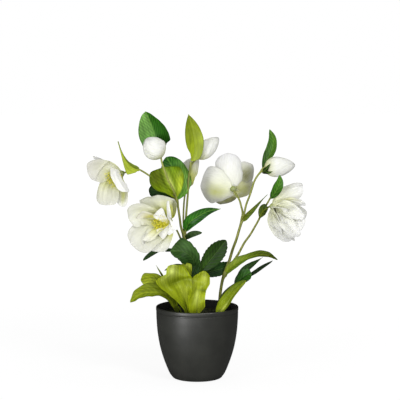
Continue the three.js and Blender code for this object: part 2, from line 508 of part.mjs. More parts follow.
// Blooms: base is the top of the stalk and axis the way the bloom looks. Each petal is its
// route from foot to tip, its width and what else sets its shape.
const BLOOMS = [
  { name: "bloom_left", base: [-102, -37, 291], axis: [-0.75, -0.5, -0.45],
    petals: [
      [[[-108, -39, 297], [-119, -43, 304], [-129, -46, 310], [-141, -48, 314]], 30,
        { face: [[-0.3, -0.1, -1], [-0.3, -0.2, -1]] }],
      [[[-114, -44, 293], [-125, -50, 295], [-137, -54, 296], [-148, -55, 293]], 33,
        { face: [[0.3, -1, -0.1], [0.3, -1, 0.1]] }],
      [[[-112, -45, 281], [-119, -50, 272], [-121, -52, 260], [-121, -50, 248]], 32,
        { face: [[0.2, -1, 0.2], [0, -1, 0.3]] }],
      [[[-104, -35, 280], [-101, -36, 268], [-101, -36, 256], [-103, -33, 244]], 15,
        { face: [[-0.2, -1, 0], [-0.3, -1, 0]] }],
      [[[-105, -43, 291], [-105, -52, 285], [-102, -59, 277], [-99, -63, 268]], 34,
        { face: [[-0.8, 0.5, -0.3], [-0.8, 0.5, -0.3]] }],
    ],
    stamens: { count: 6, spread: 0.05, reach: 10 } },
  { name: "bloom_middle_left", base: [-37, -19, 223], axis: [-0.75, -0.65, -0.05],
    petals: [
      [[[-43, -19, 234], [-48, -21, 243], [-51, -23, 251], [-52, -27, 259]], 46,
        { q: 0.15, tip: 7, face: [[-0.1, -1, -0.4], [-0.1, -1, -0.2]] }],
      [[[-44, -21, 226], [-61, -26, 231], [-77, -34, 235], [-95, -41, 232]], 34,
        { q: 0.26, face: [[0.3, -1, -0.1], [0.3, -1, 0.1]] }],
      [[[-44, -22, 221], [-59, -29, 213], [-74, -37, 203], [-89, -43, 192]], 46,
        { face: [[0.2, -1, 0.4], [0.2, -1, 0.4]] }],
      [[[-41, -23, 217], [-50, -30, 206], [-57, -36, 195], [-61, -40, 184]], 41,
        { face: [[0.1, -1, 0.6], [0, -1, 0.5]] }],
      [[[-35, -16, 228], [-32, -15, 238], [-32, -17, 246], [-34, -20, 254]], 15,
        { face: [[-0.7, -0.8, 0], [-0.7, -0.8, 0]] }],
      [[[-46, -24, 226], [-58, -29, 230], [-70, -35, 232], [-82, -40, 230]], 23, SMALL],
      [[[-46, -24, 221], [-56, -30, 215], [-66, -35, 207], [-75, -39, 199]], 28, SMALL],
      [[[-39, -26, 216], [-43, -33, 210], [-47, -37, 206], [-51, -38, 203]], 14,
        { ...SMALL, face: [[0.3, -1, 0.2], [0.2, -1, 0]] }],
      [[[-39, -26, 229], [-44, -33, 234], [-51, -38, 236], [-58, -39, 236]], 14,
        { ...SMALL, face: [[0.3, -1, 0], [0.4, -1, -0.2]] }],
    ],
    stamens: { count: 8, spread: 0.1, reach: 13 } },
  { name: "bloom_right_of_middle", base: [51, 32, 261], axis: [-0.2, 0.85, 0.45],
    petals: [
      [[[48, 34, 264], [47, 37, 277], [45, 45, 294], [43, 59, 311]], 42, BOWL],
      [[[46, 34, 261], [35, 37, 263], [19, 44, 266], [4, 56, 268]], 52,
        { ...BOWL, face: [[0.2, 1, 0.2], [0.5, 1, 0.1]] }],
      [[[47, 34, 257], [41, 36, 251], [35, 43, 244], [28, 56, 238]], 48, BOWL],
      [[[52, 34, 263], [61, 38, 271], [69, 46, 280], [75, 57, 290]], 40,
        { ...BOWL, face: [[-0.1, 1, 0.3], [-0.5, 1, 0]] }],
      [[[52, 34, 259], [61, 38, 260], [69, 46, 262], [76, 57, 267]], 36,
        { ...BOWL, face: [[-0.2, 1, 0.3], [-0.5, 1, 0.2]] }],
    ],
    stamens: { count: 5, spread: 0.2, reach: 9 } },
  { name: "bloom_right", base: [102, -38, 246], axis: [0.55, -0.8, -0.2],
    petals: [
      [[[105, -37, 250], [115, -37, 260], [127, -38, 267], [141, -37, 270]], 27,
        { face: [[0.1, -1, -0.3], [0.2, -1, -0.1]] }],
      [[[107, -42, 248], [121, -47, 252], [133, -50, 253], [146, -51, 252]], 20, { q: 0.8 }],
      [[[108, -35, 244], [123, -34, 236], [137, -33, 227], [149, -33, 216]], 40,
        { face: [[-0.1, -1, 0.2], [-0.1, -1, 0.2]] }],
      [[[106, -41, 245], [117, -50, 235], [129, -57, 224], [142, -60, 211]], 38],
      [[[105, -39, 244], [111, -46, 229], [121, -50, 216], [131, -50, 201]], 36],
      [[[103, -40, 242], [103, -46, 231], [106, -49, 218], [109, -49, 207]], 26],
      [[[109, -42, 247], [121, -50, 245], [132, -55, 240], [142, -57, 233]], 22, SMALL],
      [[[109, -43, 244], [117, -52, 234], [123, -56, 223], [128, -57, 213]], 20, SMALL],
    ],
    stamens: { count: 5, spread: 0.05, reach: 6 } },
  { name: "bloom_behind_middle", base: [-11, 16, 270], axis: [-0.15, 0.5, 0.85],
    petals: [
      [[[-11, 17, 270], [-9, 21, 282], [-8, 24, 294], [-5, 28, 305]], 26, SMALL],
      [[[-13, 17, 270], [-21, 22, 278], [-29, 26, 288], [-36, 30, 298]], 26, SMALL],
      [[[-15, 21, 267], [-25, 31, 273], [-33, 40, 281], [-39, 48, 290]], 26, SMALL],
      [[[-12, 21, 269], [-10, 32, 278], [-11, 43, 290], [-13, 51, 301]], 28, SMALL],
    ],
    stamens: { count: 4, spread: 0.05, reach: 6 } },
];

const BUDS = [
  { name: "bud_round", base: [-50, -14, 312], axis: [-0.55, -0.3, 0.7], length: 35, width: 33 },
  { name: "bud_middle", base: [1, 15, 307], axis: [0.74, 0.08, 0.7], length: 38, width: 27 },
  { name: "bud_right", base: [95, 12, 293], axis: [1, -0.1, 0.12], length: 43, width: 29, belly: 0.72 },
];

// ---------------------------------------------------------------- putting it together

const allStems = [...LEFT_SPRAY.stems, ...RIGHT_SPRAY.stems];
const allKnots = [...LEFT_SPRAY.knots, ...RIGHT_SPRAY.knots];
const stemRoom = joined([...allStems.map((s) => stem(s, GAP)), ...allKnots.map((k) => knot(k, GAP))]);
const holes = joined([...allStems, ...GROUND_LEAVES.map((leaf) => leaf.stalk)].map((s) => stem(s, GAP)));

const budRoom = joined(BUDS.map((spec) => bud(spec, 2 * GAP)));

const clearOfStems = (solid) => largest(solid.subtract(stemRoom));
const spraySolid = ({ stems, knots }) => joined([...stems.map((s) => stem(s)), ...knots.map((k) => knot(k))]);

const plant = new THREE.Group();
plant.add(mesh("pot", COLOURS.pot, potSolid(), 0.55));
plant.add(mesh("soil", COLOURS.soil, largest(soilSolid().subtract(holes)), 0.95));
plant.add(mesh("stems_left", COLOURS.stem, spraySolid(LEFT_SPRAY)));
plant.add(mesh("stems_right", COLOURS.stem, spraySolid(RIGHT_SPRAY)));
for (const leaf of [...SPRAY_LEAVES, ARCHING_LEAF]) {
  plant.add(mesh(leaf.name, COLOURS[leaf.colour], clearOfStems(blade(leaf).subtract(budRoom))));
}
for (const { name, colour, stalk, blades } of GROUND_LEAVES) {
  const whole = joined([stem(stalk), ...blades.map(blade)]);
  plant.add(mesh(name, COLOURS[colour], clearOfStems(whole)));
}
for (const bloom of BLOOMS) {
  plant.add(mesh(`${bloom.name}_petals`, COLOURS.petal, clearOfStems(bloomPetals(bloom))));
  plant.add(mesh(`${bloom.name}_stamens`, COLOURS.centre, bloomCentre(bloom)));
}
for (const spec of BUDS) {
  plant.add(mesh(spec.name, COLOURS.bud, clearOfStems(bud(spec))));
}

export default plant;
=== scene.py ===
import math

import bpy
import numpy as np
from mathutils import Matrix, Vector


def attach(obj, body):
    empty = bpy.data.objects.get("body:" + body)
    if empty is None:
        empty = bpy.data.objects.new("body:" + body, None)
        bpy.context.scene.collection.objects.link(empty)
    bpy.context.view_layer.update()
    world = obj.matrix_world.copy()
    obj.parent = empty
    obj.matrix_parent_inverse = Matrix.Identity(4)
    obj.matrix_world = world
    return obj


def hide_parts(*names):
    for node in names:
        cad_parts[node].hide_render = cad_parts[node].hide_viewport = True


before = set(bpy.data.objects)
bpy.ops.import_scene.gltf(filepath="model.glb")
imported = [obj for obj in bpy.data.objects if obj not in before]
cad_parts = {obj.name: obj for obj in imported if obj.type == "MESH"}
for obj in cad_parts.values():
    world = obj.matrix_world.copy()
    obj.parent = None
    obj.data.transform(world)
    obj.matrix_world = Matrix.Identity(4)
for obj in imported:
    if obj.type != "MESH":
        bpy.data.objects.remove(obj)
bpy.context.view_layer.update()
MM = 0.001

# ---------------------------------------------------------------- camera, light and floor
# A long lens looks slightly down on the plant's front. Large soft boxes stand to the right, the
# left and in front of it, one hangs above, and everything stands on a white floor, whose glow is
# painted a little darker round the pot as painted shade.

scene = bpy.context.scene
scene.view_settings.view_transform = "Standard"

CAMERA_PLACE = (0.0039, -2.3688, 0.5144)
CAMERA_TILT = 6.37  # degrees below the horizon
LENS = 154.8
PLANT_MIDDLE = (0, 0, 0.2)  # where the soft boxes point

camera = bpy.data.objects.new("camera", bpy.data.cameras.new("camera"))
camera.location = CAMERA_PLACE
camera.rotation_euler = (math.radians(90 - CAMERA_TILT), 0, 0)
camera.data.lens = LENS
scene.collection.objects.link(camera)
scene.camera = camera


def soft_box(name, place, size, power):
    """A square soft light that looks at the plant and isn't seen itself."""
    light = bpy.data.objects.new(name, bpy.data.lights.new(name, "AREA"))
    light.data.size = size
    light.data.energy = power
    light.location = place
    light.rotation_euler = (Vector(PLANT_MIDDLE) - Vector(place)).to_track_quat("-Z", "Y").to_euler()
    light.visible_camera = False
    scene.collection.objects.link(light)


soft_box("right_soft_box", (0.8, -1.4, 1.2), size=0.6, power=16)
soft_box("left_soft_box", (-1.0, -1.25, 0.12), size=0.5, power=17.5)
soft_box("front_soft_box", (-0.1, -2.2, 0.5), size=0.8, power=9.5)
soft_box("top_soft_box", (0.1, 0.1, 1.5), size=0.9, power=3)


def add(tree, kind, inputs=(), **settings):
    """A shader node: settings are its own choices, inputs its sockets' values or links."""
    made = tree.nodes.new("ShaderNode" + kind)
    for key, value in settings.items():
        setattr(made, key, value)
    for key, value in dict(inputs).items():
        if isinstance(value, bpy.types.NodeSocket):
            tree.links.new(value, made.inputs[key])
        else:
            made.inputs[key].default_value = value
    return made


AMBIENT = 0.34  # brightness of the white room that lights the plant from all round
MIRRORED = 0.0  # brightness of that room in glossy skins, as behind black flags

scene.world = bpy.data.worlds.new("white_room")
scene.world.use_nodes = True
room = scene.world.node_tree
room.nodes.clear()
paths = add(room, "LightPath").outputs
glow = add(room, "MapRange", {"Value": paths["Is Glossy Ray"], "To Min": AMBIENT, "To Max": MIRRORED})
glow = add(room, "Math", {0: glow.outputs[0], 1: paths["Is Camera Ray"]}, operation="MAXIMUM").outputs[0]
lit = add(room, "Background", {"Color": (1, 1, 1, 1), "Strength": glow}).outputs[0]
add(room, "OutputWorld", {"Surface": lit})

FLOOR_RADIUS = 6.0
FLOOR_SIDES = 64
FLOOR_GREY = 0.12  # share of the soft boxes' light that it sends back
FLOOR_SHADE_BY_POT = 0.9  # its glow by the pot, painted darker there as painted shade, which grows to 1 away from it
FLOOR_NEAR = 0.2  # where it starts to grow, in metres from the pot's axis
FLOOR_FAR = 1.6  # where it has grown to 1
FLOOR_BOUNCE = 0.4  # brightness that the floor gives to the undersides of leaves and petals


def mesh_object(name, vertices, faces):
    """An object at the origin with the given mesh, in metres."""
    data = bpy.data.meshes.new(name)
    data.from_pydata([tuple(v) for v in vertices], [], faces)
    data.validate()
    made = bpy.data.objects.new(name, data)
    scene.collection.objects.link(made)
    return made


def shader(name, **sockets):
    """A material with its tree and its Principled shader, whose own sockets are set."""
    made = bpy.data.materials.new(name)
    made.use_nodes = True
    tree = made.node_tree
    body = tree.nodes["Principled BSDF"]
    for key, value in sockets.items():
        body.inputs[key.replace("_", " ")].default_value = value
    return made, tree, body


turns = [2 * math.pi * k / FLOOR_SIDES for k in range(FLOOR_SIDES)]
floor_edge = [(FLOOR_RADIUS * math.cos(a), FLOOR_RADIUS * math.sin(a), 0) for a in turns]
floor = mesh_object("floor", floor_edge, [list(range(FLOOR_SIDES))])
white, tree, body = shader("floor_white", Base_Color=(FLOOR_GREY, FLOOR_GREY, FLOOR_GREY, 1), Roughness=0.9,
                           Emission_Color=(1, 1, 1, 1))
from_axis = add(tree, "TexCoord").outputs["Object"]
far = add(tree, "VectorMath", {0: from_axis}, operation="LENGTH").outputs["Value"]
# painted shade: the floor's glow to the camera is dimmer near the pot
shine = add(tree, "MapRange", {"Value": far, "From Min": FLOOR_NEAR, "From Max": FLOOR_FAR,
                               "To Min": FLOOR_SHADE_BY_POT, "To Max": 1.0})
paths = add(tree, "LightPath").outputs
bounce = add(tree, "Math", {0: paths["Is Diffuse Ray"], 1: FLOOR_BOUNCE}, operation="MULTIPLY").outputs[0]
seen = add(tree, "Math", {0: paths["Is Camera Ray"], 1: bounce}, operation="MAXIMUM").outputs[0]
shine = add(tree, "Math", {0: shine.outputs[0], 1: seen}, operation="MULTIPLY")
tree.links.new(shine.outputs[0], body.inputs["Emission Strength"])
white.cycles.emission_sampling = "NONE"
floor.data.materials.append(white)

# ---------------------------------------------------------------- pot
# One turned shell of matte black plastic, thin at the lip, with a shallow groove under the rim
# band. It stands on its flat bottom.

POT_HEIGHT = 101
POT_FOOT_RADIUS = 31
POT_WALL = 2.6
POT_FLOOR = 5  # thickness of its floor
POT_FLOOR_RADIUS = 36  # of the floor inside, where the wall rises from it
POT_SIDES = 144
POT_WALL_ROWS = 50
RIM_RADIUS = 57.5
RIM_BAND = 6.4  # height of the band from the groove to the lip
POT_WALL_LINE = [[POT_FOOT_RADIUS + 3.5, 1.4], [38.6, 7], [42.2, 15], [47.4, 29], [52.2, 46],
                 [55.4, 65], [56.8, 82], [57.2, POT_HEIGHT - RIM_BAND - 1]]


def smooth_route(points, parts):
    """Places and directions at the given parts, from 0 to 1, of the smooth curve's length, and
    that length. The curve is a uniform Catmull-Rom spline, as in the frame."""
    p = np.array(points, float)
    p = np.vstack([2 * p[0] - p[1], p, 2 * p[-1] - p[-2]])
    last = len(p) - 4

    def at(u):
        """Places and slopes at numbers that count the route's spans."""
        i = np.clip(u.astype(int), 0, last)
        w = (u - i)[:, None]
        a, b, c, d = (p[i + k] for k in range(4))
        t0, t1 = (c - a) / 2, (d - b) / 2
        cube, square = 2 * b - 2 * c + t0 + t1, 3 * c - 3 * b - 2 * t0 - t1
        return b + w * (t0 + w * (square + w * cube)), t0 + w * (2 * square + 3 * w * cube)

    fine = np.linspace(0, last + 1, 60 * (last + 1) + 1)
    steps = np.linalg.norm(np.diff(at(fine)[0], axis=0), axis=1)
    lengths = np.concatenate([[0], np.cumsum(steps)])
    place, slope = at(np.interp(np.asarray(parts) * lengths[-1], lengths, fine))
    return place, slope / np.linalg.norm(slope, axis=1, keepdims=True), lengths[-1]


def lathe(name, line, sides):
    """A closed solid turned round +Z from its line of radius and height, whose two ends lie on
    the axis."""
    turns = np.linspace(0, 2 * math.pi, sides, endpoint=False)
    rings = [np.stack([r * np.cos(turns), r * np.sin(turns), np.full(sides, z)], 1)
             for r, z in line[1:-1]]
    vertices = np.vstack(rings + [[(0, 0, line[0][1])], [(0, 0, line[-1][1])]])
    foot, top = len(vertices) - 2, len(vertices) - 1
    faces = []
    for k in range(sides):
        n = (k + 1) % sides
        faces.append((foot, n, k))
        for row in range(len(rings) - 1):
            a = row * sides
            faces.append((a + k, a + n, a + sides + n, a + sides + k))
        a = (len(rings) - 1) * sides
        faces.append((a + k, a + n, top))
    return mesh_object(name, vertices * MM, faces)


def inner_wall(inset=0.0):
    """The pot's inner wall from below the rim to the edge of its floor."""
    wall = [(r - POT_WALL - inset, z) for r, z in POT_WALL_LINE[1::2]]
    return [(POT_FLOOR_RADIUS - inset, POT_FLOOR + inset)] + wall


def soften(made, angle=35):
    """Smooth shading, with edges sharper than the angle left crisp."""
    made.data.shade_smooth()
    made.data.set_sharp_from_angle(angle=math.radians(angle))


def hexed(code, alpha=1.0):
    """A colour in the shader's own linear values from its hex code."""
    parts = [int(code[i:i + 2], 16) / 255 for i in (1, 3, 5)]
    return (*[c / 12.92 if c <= 0.04045 else ((c + 0.055) / 1.055) ** 2.4 for c in parts], alpha)


def finish_piece(made, material, slot, *nodes):
    """Gives a piece its material, hangs it under the root, and hides the nodes of the frame that it stands
    for.
    """
    made.data.materials.clear()
    made.data.materials.append(material)
    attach(made, "root")
    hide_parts(*nodes)


wall_parts = np.linspace(0, 1, POT_WALL_ROWS)
outer, _, _ = smooth_route([[r, z, 0] for r, z in POT_WALL_LINE], wall_parts)
groove = POT_HEIGHT - RIM_BAND
rim = [(RIM_RADIUS - 0.7, groove - 0.5), (RIM_RADIUS - 0.75, groove), (RIM_RADIUS - 0.7, groove + 0.4),
       (RIM_RADIUS - 0.3, groove + 0.8), (RIM_RADIUS - 0.08, groove + 1.3), (RIM_RADIUS, groove + 2.6),
       (RIM_RADIUS, POT_HEIGHT - 2), (RIM_RADIUS, POT_HEIGHT - 1.1), (RIM_RADIUS - 0.15, POT_HEIGHT - 0.6),
       (RIM_RADIUS - 0.5, POT_HEIGHT - 0.2), (RIM_RADIUS - 1.1, POT_HEIGHT),
       (RIM_RADIUS - 1.7, POT_HEIGHT), (RIM_RADIUS - 2.2, POT_HEIGHT - 0.3),
       (RIM_RADIUS - POT_WALL, POT_HEIGHT - 1)]
inner = [(r, z) for r, z in reversed(inner_wall())]
foot = [(0, 0), (POT_FOOT_RADIUS - 1, 0), (POT_FOOT_RADIUS, 0.05), (POT_FOOT_RADIUS + 1.4, 0.35),
        (POT_FOOT_RADIUS + 2.6, 0.8)]
pot_line = foot + [(x, y) for x, y, _ in outer] + rim + inner + [(0, POT_FLOOR)]
pot = lathe("pot_shell", pot_line, POT_SIDES)
soften(pot, 30)
ring_number = np.arange(len(pot.data.vertices)) // POT_SIDES
lip_ring = len(foot) + len(outer) + len(rim) - 2  # the ring where the lip turns into the inner wall
inside = (ring_number >= lip_ring).astype(np.float32)
inside[-2] = 0  # the middle of the underside, which comes after the rings
pot.data.attributes.new("inside", "FLOAT", "POINT").data.foreach_set("value", inside)


def place_noise(tree, size, detail=3.0, roughness=0.55):
    """Noise through the piece's own space, with features of about that many millimetres."""
    where = add(tree, "TexCoord").outputs["Object"]
    return add(tree, "TexNoise", {"Vector": where, "Scale": 1 / (size * MM), "Detail": detail,
                                  "Roughness": roughness}).outputs[0]


def ramp(tree, value, *stops):
    """A colour ramp through (place, colour) stops."""
    made = add(tree, "ValToRGB", {0: value})
    band = made.color_ramp.elements
    while len(band) < len(stops):
        band.new(0.5)
    for element, (place, colour) in zip(band, stops):
        element.position = place
        element.color = colour
    return made.outputs[0]


def relief(tree, body, height, depth, strength=1.0):
    """Raises the surface by a height from 0 to 1, whose full step is depth millimetres."""
    bump = add(tree, "Bump", {"Height": height, "Distance": depth * MM, "Strength": strength})
    tree.links.new(bump.outputs[0], body.inputs["Normal"])


def mix_colours(tree, share, first, second):
    """The second colour over the first by a share from 0 to 1."""
    made = add(tree, "Mix", data_type="RGBA")
    for key, value in ((0, share), (6, first), (7, second)):
        if isinstance(value, bpy.types.NodeSocket):
            tree.links.new(value, made.inputs[key])
        else:
            made.inputs[key].default_value = value
    return made.outputs[2]


# the plastic is clouded a little, and duller on the inner wall, whose colour is also painted near black as
# painted shade inside the pot
black, tree, body = shader("black_plastic", Roughness=0.43, Specular_IOR_Level=0.85)
cloud = place_noise(tree, 30)
inner_wall_shade_and_dullness = add(tree, "Attribute", attribute_name="inside").outputs["Fac"]
skin = ramp(tree, cloud, (0.3, hexed("#242521")), (0.7, hexed("#2e2f2a")))
# painted shade: the inner wall's colour is darkened to #0b0b09
tree.links.new(mix_colours(tree, inner_wall_shade_and_dullness, skin, hexed("#0b0b09")), body.inputs["Base Color"])
dullness = add(tree, "MapRange", {"Value": cloud, "To Min": 0.4, "To Max": 0.46}).outputs[0]
dullness = add(tree, "Math", {0: dullness, 1: inner_wall_shade_and_dullness}, operation="MAXIMUM").outputs[0]
tree.links.new(dullness, body.inputs["Roughness"])
relief(tree, body, place_noise(tree, 0.9, 2.0), 0.05, 0.5)
finish_piece(pot, black, "pot", "pot")

# ---------------------------------------------------------------- soil
# Dark peat that fills the pot to 12 mm below its lip at the wall, and is heaped a little in the
# middle: a plug with an uneven top, and loose crumbs lying on it.

SOIL_LEVEL = 89
SOIL_CROWN = 4  # height of the heap in the middle
SOIL_RIPPLE = 0.25  # how much its slope goes up and down, as a part of that height
SOIL_LUMP = 0.5  # height of the small lumps on it
SOIL_GAP = 0.3  # clear space to the pot's wall
SOIL_SIDES = 120
SOIL_RINGS = 34
CRUMB_SIZE = 1.5
CRUMBS_PER_CM2 = 14
CRUMB_SEED = 5

wall = [(r, z) for r, z in inner_wall(SOIL_GAP) if z < SOIL_LEVEL]
edge = wall[-1][0]
top = [(edge * s, SOIL_LEVEL + SOIL_CROWN * (1 - s**2) * (1 + SOIL_RIPPLE * math.sin(9 * s)))
       for s in np.linspace(1, 0, SOIL_RINGS)]
soil = lathe("soil_plug", [(0, POT_FLOOR + SOIL_GAP)] + wall + top, SOIL_SIDES)
# its lumps are about 8 mm wide and lie in no rows
heap = np.array([v.co for v in soil.data.vertices])
x, y, z = heap.T
lumps = np.sin(x * 900 + 3 * np.sin(y * 400)) * np.sin(y * 760 + x * 300)
upper = (z > (SOIL_LEVEL - 0.1) * MM) & (np.hypot(x, y) < (edge - 0.5) * MM)
heap[upper, 2] += lumps[upper] * SOIL_LUMP * MM
soil.data.vertices.foreach_set("co", heap.ravel())
soften(soil, 60)

peat, tree, body = shader("dark_peat", Roughness=0.95, Specular_IOR_Level=0.2)
tree.links.new(ramp(tree, place_noise(tree, 3, 6.0, 0.7), (0.3, hexed("#12110c")),
                    (0.5, hexed("#25251a")), (0.62, hexed("#3a4026")), (0.75, hexed("#566038"))),
               body.inputs["Base Color"])
relief(tree, body, place_noise(tree, 1.2, 5.0, 0.7), 0.8)


def geometry_tree(name, inputs):
    """A Geometry Nodes tree with named inputs, as (name, socket type, value), and a maker of its
    nodes."""
    made = bpy.data.node_groups.new(name, "GeometryNodeTree")
    made.interface.new_socket("Geometry", in_out="INPUT", socket_type="NodeSocketGeometry")
    for label, kind, value in inputs:
        socket = made.interface.new_socket(label, in_out="INPUT", socket_type="NodeSocket" + kind)
        if value is not None:
            socket.default_value = value
    made.interface.new_socket("Geometry", in_out="OUTPUT", socket_type="NodeSocketGeometry")

    def put(kind, sockets=(), **settings):
        """A node of the tree: settings are its own choices, sockets their values or links."""
        piece = made.nodes.new(kind)
        for key, value in settings.items():
            setattr(piece, key, value)
        for key, value in dict(sockets).items():
            if isinstance(value, bpy.types.NodeSocket):
                made.links.new(value, piece.inputs[key])
            else:
                piece.inputs[key].default_value = value
        return piece

    return made, put


def grow(made, tree, values):
    """Runs a Geometry Nodes tree on an object and keeps its result as the object's plain mesh."""
    modifier = made.modifiers.new("grow", "NODES")
    modifier.node_group = tree
    for item in tree.interface.items_tree:
        if item.in_out == "INPUT" and item.name in values:
            modifier[item.identifier] = values[item.name]
    bpy.context.view_layer.update()
    ready = made.evaluated_get(bpy.context.evaluated_depsgraph_get())
    grown = bpy.data.meshes.new_from_object(ready)
    made.modifiers.clear()
    made.data = grown
    return made


crumb_tree, put = geometry_tree("crumbs", [
    ("Density", "Float", 1.0), ("Size", "Float", 0.001), ("Level", "Float", 0.0),
    ("Seed", "Int", CRUMB_SEED), ("Finish", "Material", None)])
given = put("NodeGroupInput").outputs
height = put("ShaderNodeSeparateXYZ", {0: put("GeometryNodeInputPosition").outputs[0]}).outputs["Z"]
high = put("FunctionNodeCompare", {0: height, 1: given["Level"]}, operation="GREATER_THAN").outputs[0]
spots = put("GeometryNodeDistributePointsOnFaces", {
    "Mesh": given["Geometry"], "Selection": high, "Density": given["Density"], "Seed": given["Seed"]})
crumb = put("GeometryNodeMeshIcoSphere", {"Radius": given["Size"], "Subdivisions": 1}).outputs[0]
spin = put("FunctionNodeRandomValue", {0: (0, 0, 0), 1: (6.3, 6.3, 6.3), "Seed": given["Seed"]},
           data_type="FLOAT_VECTOR").outputs[0]
sizes = put("FunctionNodeRandomValue", {0: (0.25, 0.25, 0.2), 1: (1.0, 0.8, 0.6), "Seed": given["Seed"]},
            data_type="FLOAT_VECTOR").outputs[0]
strewn = put("GeometryNodeInstanceOnPoints", {
    "Points": spots.outputs["Points"], "Instance": crumb, "Rotation": spin, "Scale": sizes}).outputs[0]
real = put("GeometryNodeRealizeInstances", {0: strewn}).outputs[0]
whole = put("GeometryNodeJoinGeometry", {0: given["Geometry"]})
crumb_tree.links.new(real, whole.inputs[0])
done = put("GeometryNodeSetMaterial", {"Geometry": whole.outputs[0], "Material": given["Finish"]}).outputs[0]
put("NodeGroupOutput", {"Geometry": done})
grow(soil, crumb_tree, {"Density": CRUMBS_PER_CM2 * 1e4, "Size": CRUMB_SIZE * MM,
                        "Level": (SOIL_LEVEL - 0.1) * MM, "Seed": CRUMB_SEED, "Finish": peat})
finish_piece(soil, peat, "soil", "soil")

# ---------------------------------------------------------------- stems
# Two flowering sprays, each one grown piece: smooth round green stems that swell where they fork
# and stand in the soil. A stem is its route with its radius at foot and top, a knot its place and
# radius.

LEFT_SPRAY = dict(stems=[
    [[[-10, 0, 56], [-10, 0, 84], [-11, -1, 124], [-14, -2, 163], [-16, -3, 187], [-18, -3, 200]], 2.3, 2],
    [[[-16, -3, 192], [-22, -4, 211], [-24, -5, 224], [-26, -6, 238], [-28, -7, 251]], 1.8, 1.5],
    [[[-28, -7, 247], [-30, -10, 257], [-35, -16, 270], [-40, -19, 280], [-44, -19, 291],
      [-48, -17, 302], [-50, -14, 312]], 1.4, 1.3],
    [[[-28, -7, 248], [-32, -8, 256], [-40, -9, 264], [-51, -10, 274], [-65, -17, 285],
      [-76, -25, 293], [-83, -29, 296], [-94, -33, 293], [-100, -37, 291]], 1.4, 1.2],
    [[[-17, -3, 195], [-19, 0, 216], [-19, 3, 233], [-18, 7, 249], [-16, 11, 261],
      [-13, 14, 267]], 1.3, 1.2],
    [[[-17, -3, 195], [-16, -2, 217], [-15, -1, 233], [-13, 2, 257], [-12, 4, 277], [-10, 5, 294],
      [-9, 5, 303]], 1.6, 1.3],
    [[[-10, 5, 290], [-8, 8, 298], [-4, 12, 303], [0, 15, 307]], 1.3, 1.2],
    [[[-16, -3, 186], [-21, -6, 193], [-27, -12, 207], [-32, -15, 216], [-36, -18, 222]], 1.4, 1.2],
], knots=[[[-17, -3, 197], 2.7], [[-28, -7, 249], 2.2]])

RIGHT_SPRAY = dict(stems=[
    [[[30, 3, 56], [30, 3, 84], [32, 3, 116], [35, 2, 136], [38, 1, 145], [41, 1, 155],
      [45, 0, 166], [49, -1, 180], [54, -2, 194], [58, -3, 208], [63, -3, 225]], 2.3, 1.8],
    [[[62, -3, 221], [63, 2, 232], [61, 8, 241], [59, 14, 248], [54, 22, 256], [51, 31, 261]], 1.5, 1.3],
    [[[62, -3, 221], [65, -3, 231], [68, -2, 244], [73, -1, 257], [76, 2, 266], [79, 4, 275],
      [83, 7, 282], [88, 9, 288], [94, 12, 293]], 1.5, 1.3],
    [[[38, 1, 143], [43, 0, 153], [50, -1, 164], [57, -5, 175], [65, -10, 191], [73, -14, 203],
      [80, -19, 216], [85, -23, 226], [90, -26, 238], [96, -31, 249], [100, -36, 257]], 1.8, 1.2],
    [[[87.5, -24.8, 232], [94, -31, 241], [100, -37, 246]], 1.3, 1.2],
], knots=[[[38, 1, 145], 2.8], [[62.5, -3, 223], 2.3], [[93, 12, 291], 3]])

STEM_SIDES = 14
STEM_STEP = 2.0  # length of one row of a stem's faces
KNOT_REACH = 5.0  # how far along a stem the swelling at a fork reaches
KNOT_FULLNESS = 1.05  # its radius over the knot's own
PALE_FROM = 0.2  # height in metres from which a stem turns paler
PALE_TO = 0.3


def tube(points, r0, r1, knots=()):
    """Places, faces and lengthwise shares of a round stem that swells near its knots."""
    length = smooth_route(points, [0])[2]
    count = max(6, round(length / STEM_STEP))
    parts = np.linspace(0, 1, count + 1)
    centre, tangent, _ = smooth_route(points, parts)
    radius = r0 + (r1 - r0) * parts
    for place, size in knots:
        near = np.exp(-(np.linalg.norm(centre - np.array(place), axis=1) / KNOT_REACH) ** 2)
        radius = radius + np.maximum(size * KNOT_FULLNESS - radius, 0) * near
    u = np.array([1.0, 0, 0])
    rings = []
    turns = np.linspace(0, 2 * math.pi, STEM_SIDES, endpoint=False)
    for place, ahead, r in zip(centre, tangent, radius):
        v = np.cross(ahead, u)
        v /= np.linalg.norm(v)
        u = np.cross(v, ahead)
        rings.append(place + r * (np.outer(np.cos(turns), u) + np.outer(np.sin(turns), v)))
    vertices = np.vstack([*rings, centre[:1], centre[-1:]])
    n, end = STEM_SIDES, len(rings) - 1
    faces = []
    for k in range(n):
        m = (k + 1) % n
        faces.append((len(vertices) - 2, m, k))
        faces.append((len(vertices) - 1, end * n + k, end * n + m))
        faces.extend((j * n + k, j * n + m, (j + 1) * n + m, (j + 1) * n + k) for j in range(end))
    return vertices, faces


def fuse(solids):
    """Joins solids into the first of them, as one closed skin."""
    first = solids[0]
    for other in solids[1:]:
        union = first.modifiers.new("union", "BOOLEAN")
        union.operation = "UNION"
        union.solver = "MANIFOLD"
        union.object = other
    bpy.context.view_layer.update()
    ready = first.evaluated_get(bpy.context.evaluated_depsgraph_get())
    whole = bpy.data.meshes.new_from_object(ready)
    first.modifiers.clear()
    first.data = whole
    for other in solids[1:]:
        bpy.data.objects.remove(other)
    return first


def spray(name, stems, knots):
    """One flowering spray: all its stems, swollen at the knots and joined into one skin."""
    solids = []
    for i, (points, r0, r1) in enumerate(stems):
        vertices, faces = tube(points, r0, r1, knots)
        solids.append(mesh_object(name if i == 0 else f"{name}_{i}", vertices * MM, faces))
    whole = fuse(solids)
    soften(whole, 50)
    return whole


